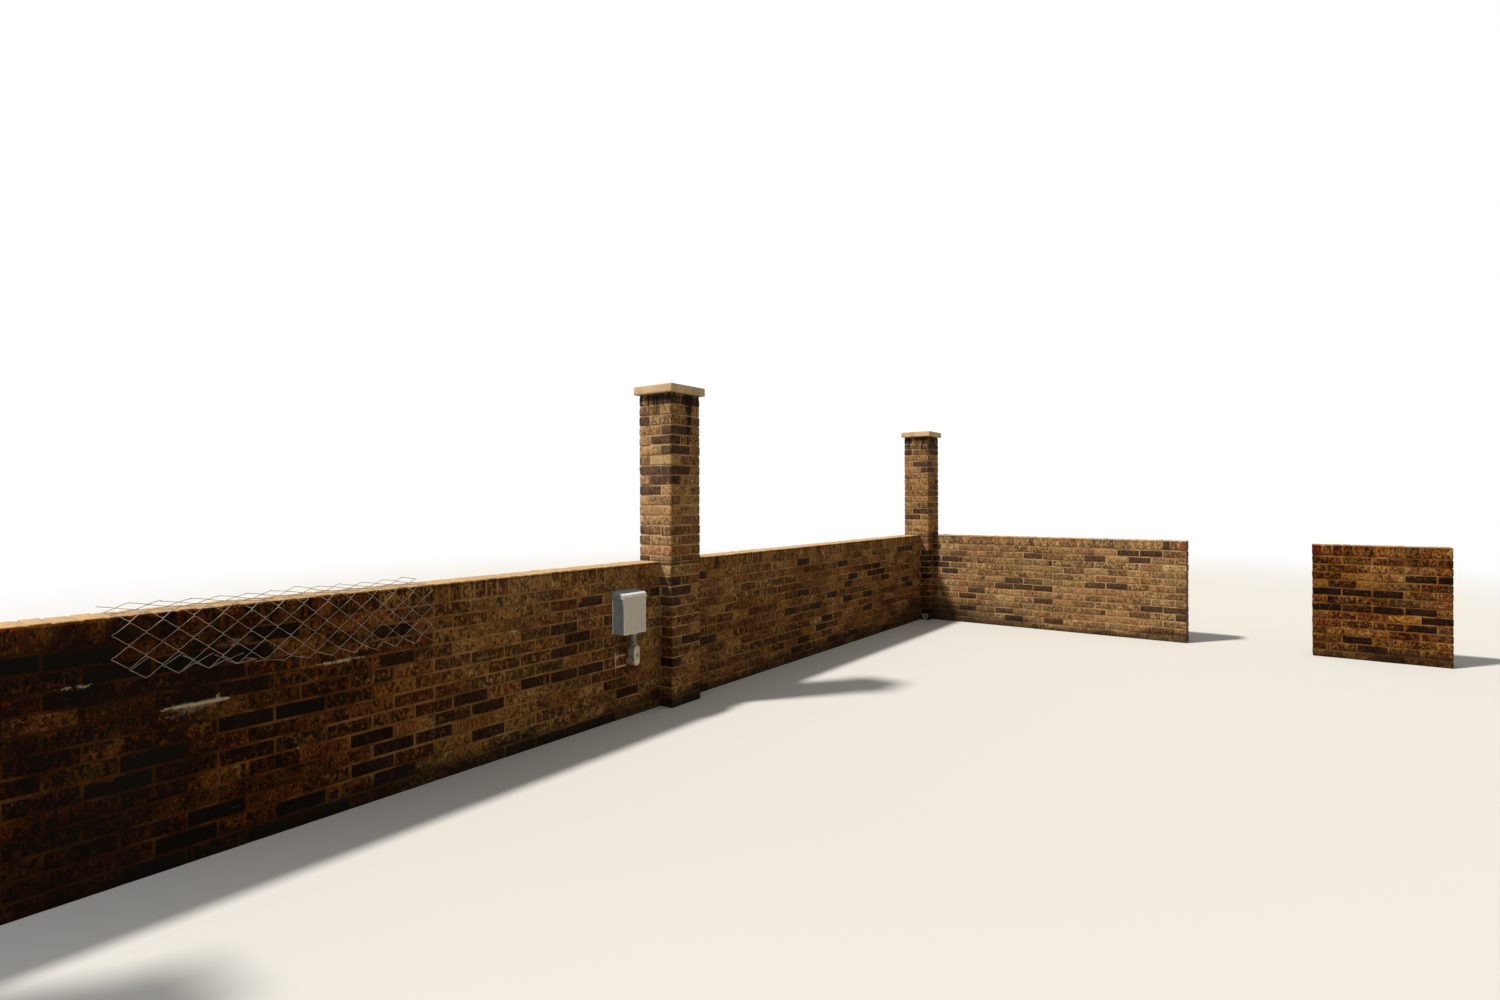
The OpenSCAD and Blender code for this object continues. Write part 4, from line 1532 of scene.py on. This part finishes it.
class HangBox(bpy.types.Operator):
    """Hang the rain-tight box with its hemmed cover and hood"""

    bl_idname = "garden_wall.hang_box"
    bl_label = "Hang Box"

    def execute(self, context):
        made = context.scene.wall_fittings
        settle(softened("box_tray", made.fold), "box_paint", "chalky_paint_lit_front", "box_tray")
        # The back plate is finished pale, a painted highlight
        settle(self.flange(made), "box_paint", "worn_edge_and_highlight")
        settle(softened("box_cover", made.fold), "box_paint", "chalky_paint_lit_front", "box_cover")
        settle(self.hem(made), "box_paint", "worn_edge_and_highlight")
        profile = self.hood_profile(made)
        settle(self.hood(made, profile), "box_paint", "chalky_paint_lit_front", "box_hood")
        brow, edge, foot = profile[2:]
        # The hood's brow and lip are finished near white, a painted highlight
        brow_depth = made.brow_back + made.hood_reach
        settle(self.lip(made, "hood_brow", brow, edge, brow_depth), "box_paint", "painted_highlight_lip")
        settle(self.lip(made, "hood_lip", edge, foot, made.lip), "box_paint", "painted_highlight_lip")
        # Dark strips of painted shade under the hood's cheeks
        settle(self.shade_strips(made), "gasket_rubber", "dark_rubber")
        settle(softened("box_hub", HUB_ARRIS), "box_paint", "chalky_paint_lit_front", "box_hub")
        return {"FINISHED"}

    def hood_profile(self, made):
        """Side view of the hood as Y and Z: back foot, back top, brow, front edge and front foot."""
        low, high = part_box("box_hood")
        corners = [v.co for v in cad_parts["box_hood"].data.vertices]
        ridge = min((co for co in corners if co.z > low.z + 0.01), key=lambda co: co.y)
        brow = (ridge.y + made.brow_back, ridge.z + made.brow_back * (high.z - ridge.z) / (high.y - ridge.y))
        edge = (ridge.y - made.hood_reach, ridge.z - made.brow_drop)
        return (high.y, low.z), (high.y, high.z), brow, edge, (low.y, low.z)

    def hood(self, made, profile):
        """Folded sheet of the hood, which hangs over both sides of the box."""
        low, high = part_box("box_hood")
        shape = bmesh.new()
        left, right = (
            [shape.verts.new((x, y, z)) for y, z in profile]
            for x in (low.x - made.hood_side, high.x + made.hood_side)
        )
        shape.faces.new(left)
        shape.faces.new(right[::-1])
        for i in range(len(profile) - 1):
            shape.faces.new((left[i], right[i], right[i + 1], left[i + 1]))
        bmesh.ops.recalc_face_normals(shape, faces=shape.faces)
        bmesh.ops.solidify(shape, geom=shape.faces[:], thickness=made.sheet)
        shape.normal_update()
        return mesh_object("box_hood_shell", shape)

    def lip(self, made, name, top, foot, depth):
        """Strip between two edges of the hood, turned down the front of its cheeks, finished near white as a
        painted highlight of sunlight.
        """
        low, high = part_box("box_hood")
        start = Vector((0, *top))
        down = Vector((0, *foot)) - start
        run = down.length
        down.normalize()
        out = Vector((0, down.z, -down.y))
        left = low.x - made.hood_side - made.lip_proud
        right = high.x + made.hood_side + made.lip_proud
        edge = made.lip_edge
        outline = [(left, 0), (left, run), (right, run), (right, 0)]
        if depth < run:
            inner = (left + edge, right - edge)
            outline[2:2] = [(inner[0], run), (inner[0], depth), (inner[1], depth), (inner[1], run)]

        def place(x, s, proud):
            return Vector((x, 0, 0)) + start + down * s + out * proud

        return band(name, outline, place, LIP_SUNK, made.lip_proud)

    def shade_strips(self, made):
        """Dark strips under the hood's cheeks, a painted shade of the gaps there."""
        hood_low, hood_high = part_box("box_hood")
        tray_low, tray_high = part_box("box_tray")
        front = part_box("box_cover")[0].y + SHADE_STRIP_BACK
        foot, top = hood_low.z - made.seam, hood_low.z
        shape = bmesh.new()
        for ends in (
            (hood_low.x + SHADE_STRIP_GAP, tray_low.x + SHADE_STRIP_GRIP), (tray_high.x - SHADE_STRIP_GRIP, hood_high.x - SHADE_STRIP_GAP)
        ):
            left, right = sorted(ends)
            add_box(shape, (left, front, foot), (right, tray_high.y, top), SHADE_STRIP_ARRIS)
        return mesh_object("box_shade_strips", shape)

    def flange(self, made):
        """Thin back plate that shows at both sides of the tray, finished pale as a painted highlight on its
        edges.
        """
        low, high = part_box("box_tray")
        shape = bmesh.new()
        left, right = low.x - made.flange, high.x + made.flange
        add_box(shape, (left, high.y - FLANGE_THICK, low.z), (right, high.y, high.z), FLANGE_ARRIS)
        return mesh_object("box_flange", shape)

    def hem(self, made):
        """Turned hem, a little proud, down both sides and along the foot of the cover."""
        low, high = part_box("box_cover")
        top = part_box("box_hood")[0].z - HEM_GAP
        outline = [
            (x, z)
            for inset, ends in ((HEM_INSET, 1), (made.hem, -1))
            for x, z in (
                (low.x + inset, top), (low.x + inset, low.z + inset), (high.x - inset, low.z + inset),
                (high.x - inset, top),
            )[::ends]
        ]

        def place(x, z, proud):
            return x, low.y - proud, z

        return band("cover_hem", outline, place, HEM_SUNK, made.hem_proud)


# Raised ring on the elbow's cover: half width, half height, radius of its bead and steps round it
BOSS = (0.0105, 0.0145, 0.0016, 40)
# How far the screws are from the ends of the elbow's cover, and how far each is turned
SCREW_INSET = 0.014
SCREW_TURNS = (0.5, 2.1)
# Plug of the elbow's cover: share of its width at its top, thickness, how far it is drawn out
# upright, and the width of its bevelled edge
PLUG = (0.86, 0.0016, 1.45, 0.0003)


class RunConduit(bpy.types.Operator):
    """Fit the conduit, its elbow with the screwed cover, and the gasket"""

    bl_idname = "garden_wall.run_conduit"
    bl_label = "Run Conduit"

    def execute(self, context):
        made = context.scene.wall_fittings
        for node, radius, slot, finish in (
            ("conduit", 0.0008, "conduit_plastic", "cream_plastic"),
            ("conduit_elbow", 0.003, "conduit_plastic", "cream_plastic"),
            ("elbow_hub", 0.001, "conduit_plastic", "cream_plastic"),
            ("elbow_cover", 0.0016, "conduit_plastic", "yellowed_and_lit_plate"),
            ("elbow_gasket", 0.0004, "gasket_rubber", "dark_rubber"),
        ):
            piece = softened(node, radius)
            if node == "elbow_cover":
                self.boss(piece)
            settle(piece, slot, finish, node)
        low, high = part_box("elbow_cover")
        x, _, z = middle_of("elbow_cover")
        settle(self.plug(made, Vector((x, low.y, z))), "gasket_rubber", "dark_rubber")
        shape = bmesh.new()
        for z, turn in zip((low.z + SCREW_INSET, high.z - SCREW_INSET), SCREW_TURNS):
            add_screw(shape, (x, low.y, z), made.screw, turn)
        settle(mesh_object("elbow_screws", shape), "galvanised_wire", "screw_steel")
        return {"FINISHED"}

    def plug(self, made, middle):
        """Dark oval plug in the middle of the elbow's cover."""
        taper, thick, upright, bevel = PLUG
        shape = bmesh.new()
        disc = bmesh.ops.create_cone(
            shape, cap_ends=True, segments=32, radius1=made.plug, radius2=made.plug * taper, depth=thick,
            matrix=Matrix.Translation(middle) @ Matrix.Diagonal((1, 1, upright, 1))
            @ Matrix.Rotation(QUARTER_TURN, 4, "X"),
        )
        round_edges(shape, edges_of(disc["verts"]), bevel, 0.0)
        return mesh_object("elbow_plug", shape)

    def boss(self, cover):
        """Raised ring in the middle of the cover."""
        half_wide, half_high, radius, steps = BOSS
        x, _, z = middle_of("elbow_cover")
        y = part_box("elbow_cover")[0].y
        shape = bmesh.new()
        shape.from_mesh(cover.data)
        turns = [step * math.pi / (steps / 2) for step in range(steps)]
        ring = [(x + half_wide * math.cos(turn), y, z + half_high * math.sin(turn)) for turn in turns]
        points, quads, _ = tube(ring + ring[:1], radius, 8)
        verts = [shape.verts.new(p) for p in points[:-2]]
        for quad in quads:
            shape.faces.new([verts[i] for i in quad])
        shape.to_mesh(cover.data)
        shape.free()


class FitDrain(bpy.types.Operator):
    """Fit the drain pipe through the corner pier's foot"""

    bl_idname = "garden_wall.fit_drain"
    bl_label = "Fit Drain"

    def execute(self, context):
        settle(softened("drain_pipe", DRAIN_ARRIS), "pipe_plastic", "white_pipe", "drain_pipe")
        return {"FINISHED"}


class WeaveWire(bpy.types.Operator):
    """Weave the strip of wire that lies over the near bay"""

    bl_idname = "garden_wall.weave_wire"
    bl_label = "Weave Wire"

    def execute(self, context):
        wire = context.scene.wall_wire
        fabric = Fabric(wire)
        draw = np.random.default_rng(WEAVE_SEED)
        springs = draw.uniform(*SPRING_STRAY, wire.wires) * wire.spring
        lines = [fabric.line(index, spring) for index, spring in enumerate(springs)]
        lines.append([
            (fabric.side_x + out, fabric.face_y - stand, fabric.top_z - down)
            for out, down, stand in STRAY_END
        ])
        weave = joined([tube(line, wire.thick / 2, WIRE_SIDES) for line in lines])
        mesh = build_mesh("wire_mesh", *weave)
        settle(mesh, "galvanised_wire", "zinc_wire", "wire_mesh_front", "wire_mesh_top")
        return {"FINISHED"}


FLOOR_SIZE = 200
SENSOR = 36
KEY_COLOUR = (1.0, 0.98, 0.95)
KEY_TOWARDS = (-0.56, 0.44, 1.0)


class SetStage(bpy.types.Operator):
    """Lay the pale floor and set the light and the camera"""

    bl_idname = "garden_wall.set_stage"
    bl_label = "Set Stage"

    def execute(self, context):
        stage = context.scene.wall_stage
        scene = context.scene
        floor_material(stage)
        shape = bmesh.new()
        bmesh.ops.create_grid(shape, x_segments=1, y_segments=1, size=FLOOR_SIZE)
        floor = mesh_object("floor", shape)
        floor.data.materials.append(bpy.data.materials["floor"])
        self.sky(scene, stage)
        self.key(stage)
        camera = add_object("camera", bpy.data.cameras.new("camera"))
        camera.data.sensor_width = SENSOR
        camera.data.sensor_fit = "HORIZONTAL"
        camera.data.lens = stage.lens
        camera.matrix_world = (
            Matrix.Translation(stage.place)
            @ Matrix.Rotation(stage.heading - QUARTER_TURN, 4, "Z")
            @ Matrix.Rotation(QUARTER_TURN + stage.pitch, 4, "X")
            @ Matrix.Rotation(stage.roll, 4, "Z")
        )
        scene.camera = camera
        scene.view_settings.view_transform = "Standard"
        return {"FINISHED"}

    def sky(self, scene, stage):
        """White sky that lights the wall only a little."""
        scene.world = bpy.data.worlds.new("studio")
        scene.world.use_nodes = True
        tree = scene.world.node_tree
        tree.nodes.clear()
        web = Web(tree, tree.nodes.new("ShaderNodeOutputWorld"))
        strength = web.fade(web.seen(), 0, 1, stage.fill, 1.0)
        light = web.node("ShaderNodeBackground", {"Color": (1, 1, 1), "Strength": strength})
        web.end({0: light.outputs[0]})

    def key(self, stage):
        """High key light from the left."""
        lamp = bpy.data.lights.new("key", "SUN")
        lamp.energy = stage.key
        lamp.angle = stage.key_spread
        lamp.color = KEY_COLOUR
        add_object("key", lamp).rotation_euler = Vector(KEY_TOWARDS).to_track_quat("Z", "Y").to_euler()


class GardenWallPanel(bpy.types.Panel):
    """Steps that dress the wall"""

    bl_idname = "VIEW3D_PT_garden_wall"
    bl_label = "Garden Wall"
    bl_space_type = "VIEW_3D"
    bl_region_type = "UI"
    bl_category = "Garden Wall"

    def draw(self, context):
        for step in STEPS:
            self.layout.operator(step.bl_idname)


SETTINGS = {
    "wall_bricks": BrickSizes,
    "wall_colours": BrickColours,
    "wall_stone": StoneSettings,
    "wall_fittings": FittingSettings,
    "wall_wire": WireSettings,
    "wall_stage": StageSettings,
}
STEPS = (
    MixFinishes, LayWalls, LayCopings, LayPiers, SetCaps, HangBox, RunConduit, FitDrain, WeaveWire, SetStage,
)
CLASSES = (*SETTINGS.values(), *STEPS, GardenWallPanel)


def register():
    for cls in CLASSES:
        bpy.utils.register_class(cls)
    for name, cls in SETTINGS.items():
        setattr(bpy.types.Scene, name, PointerProperty(type=cls))


def unregister():
    for name in SETTINGS:
        delattr(bpy.types.Scene, name)
    for cls in reversed(CLASSES):
        bpy.utils.unregister_class(cls)


def main():
    register()
    for step in STEPS:
        group, call = step.bl_idname.split(".")
        getattr(getattr(bpy.ops, group), call)()


if __name__ == "__main__":
    main()
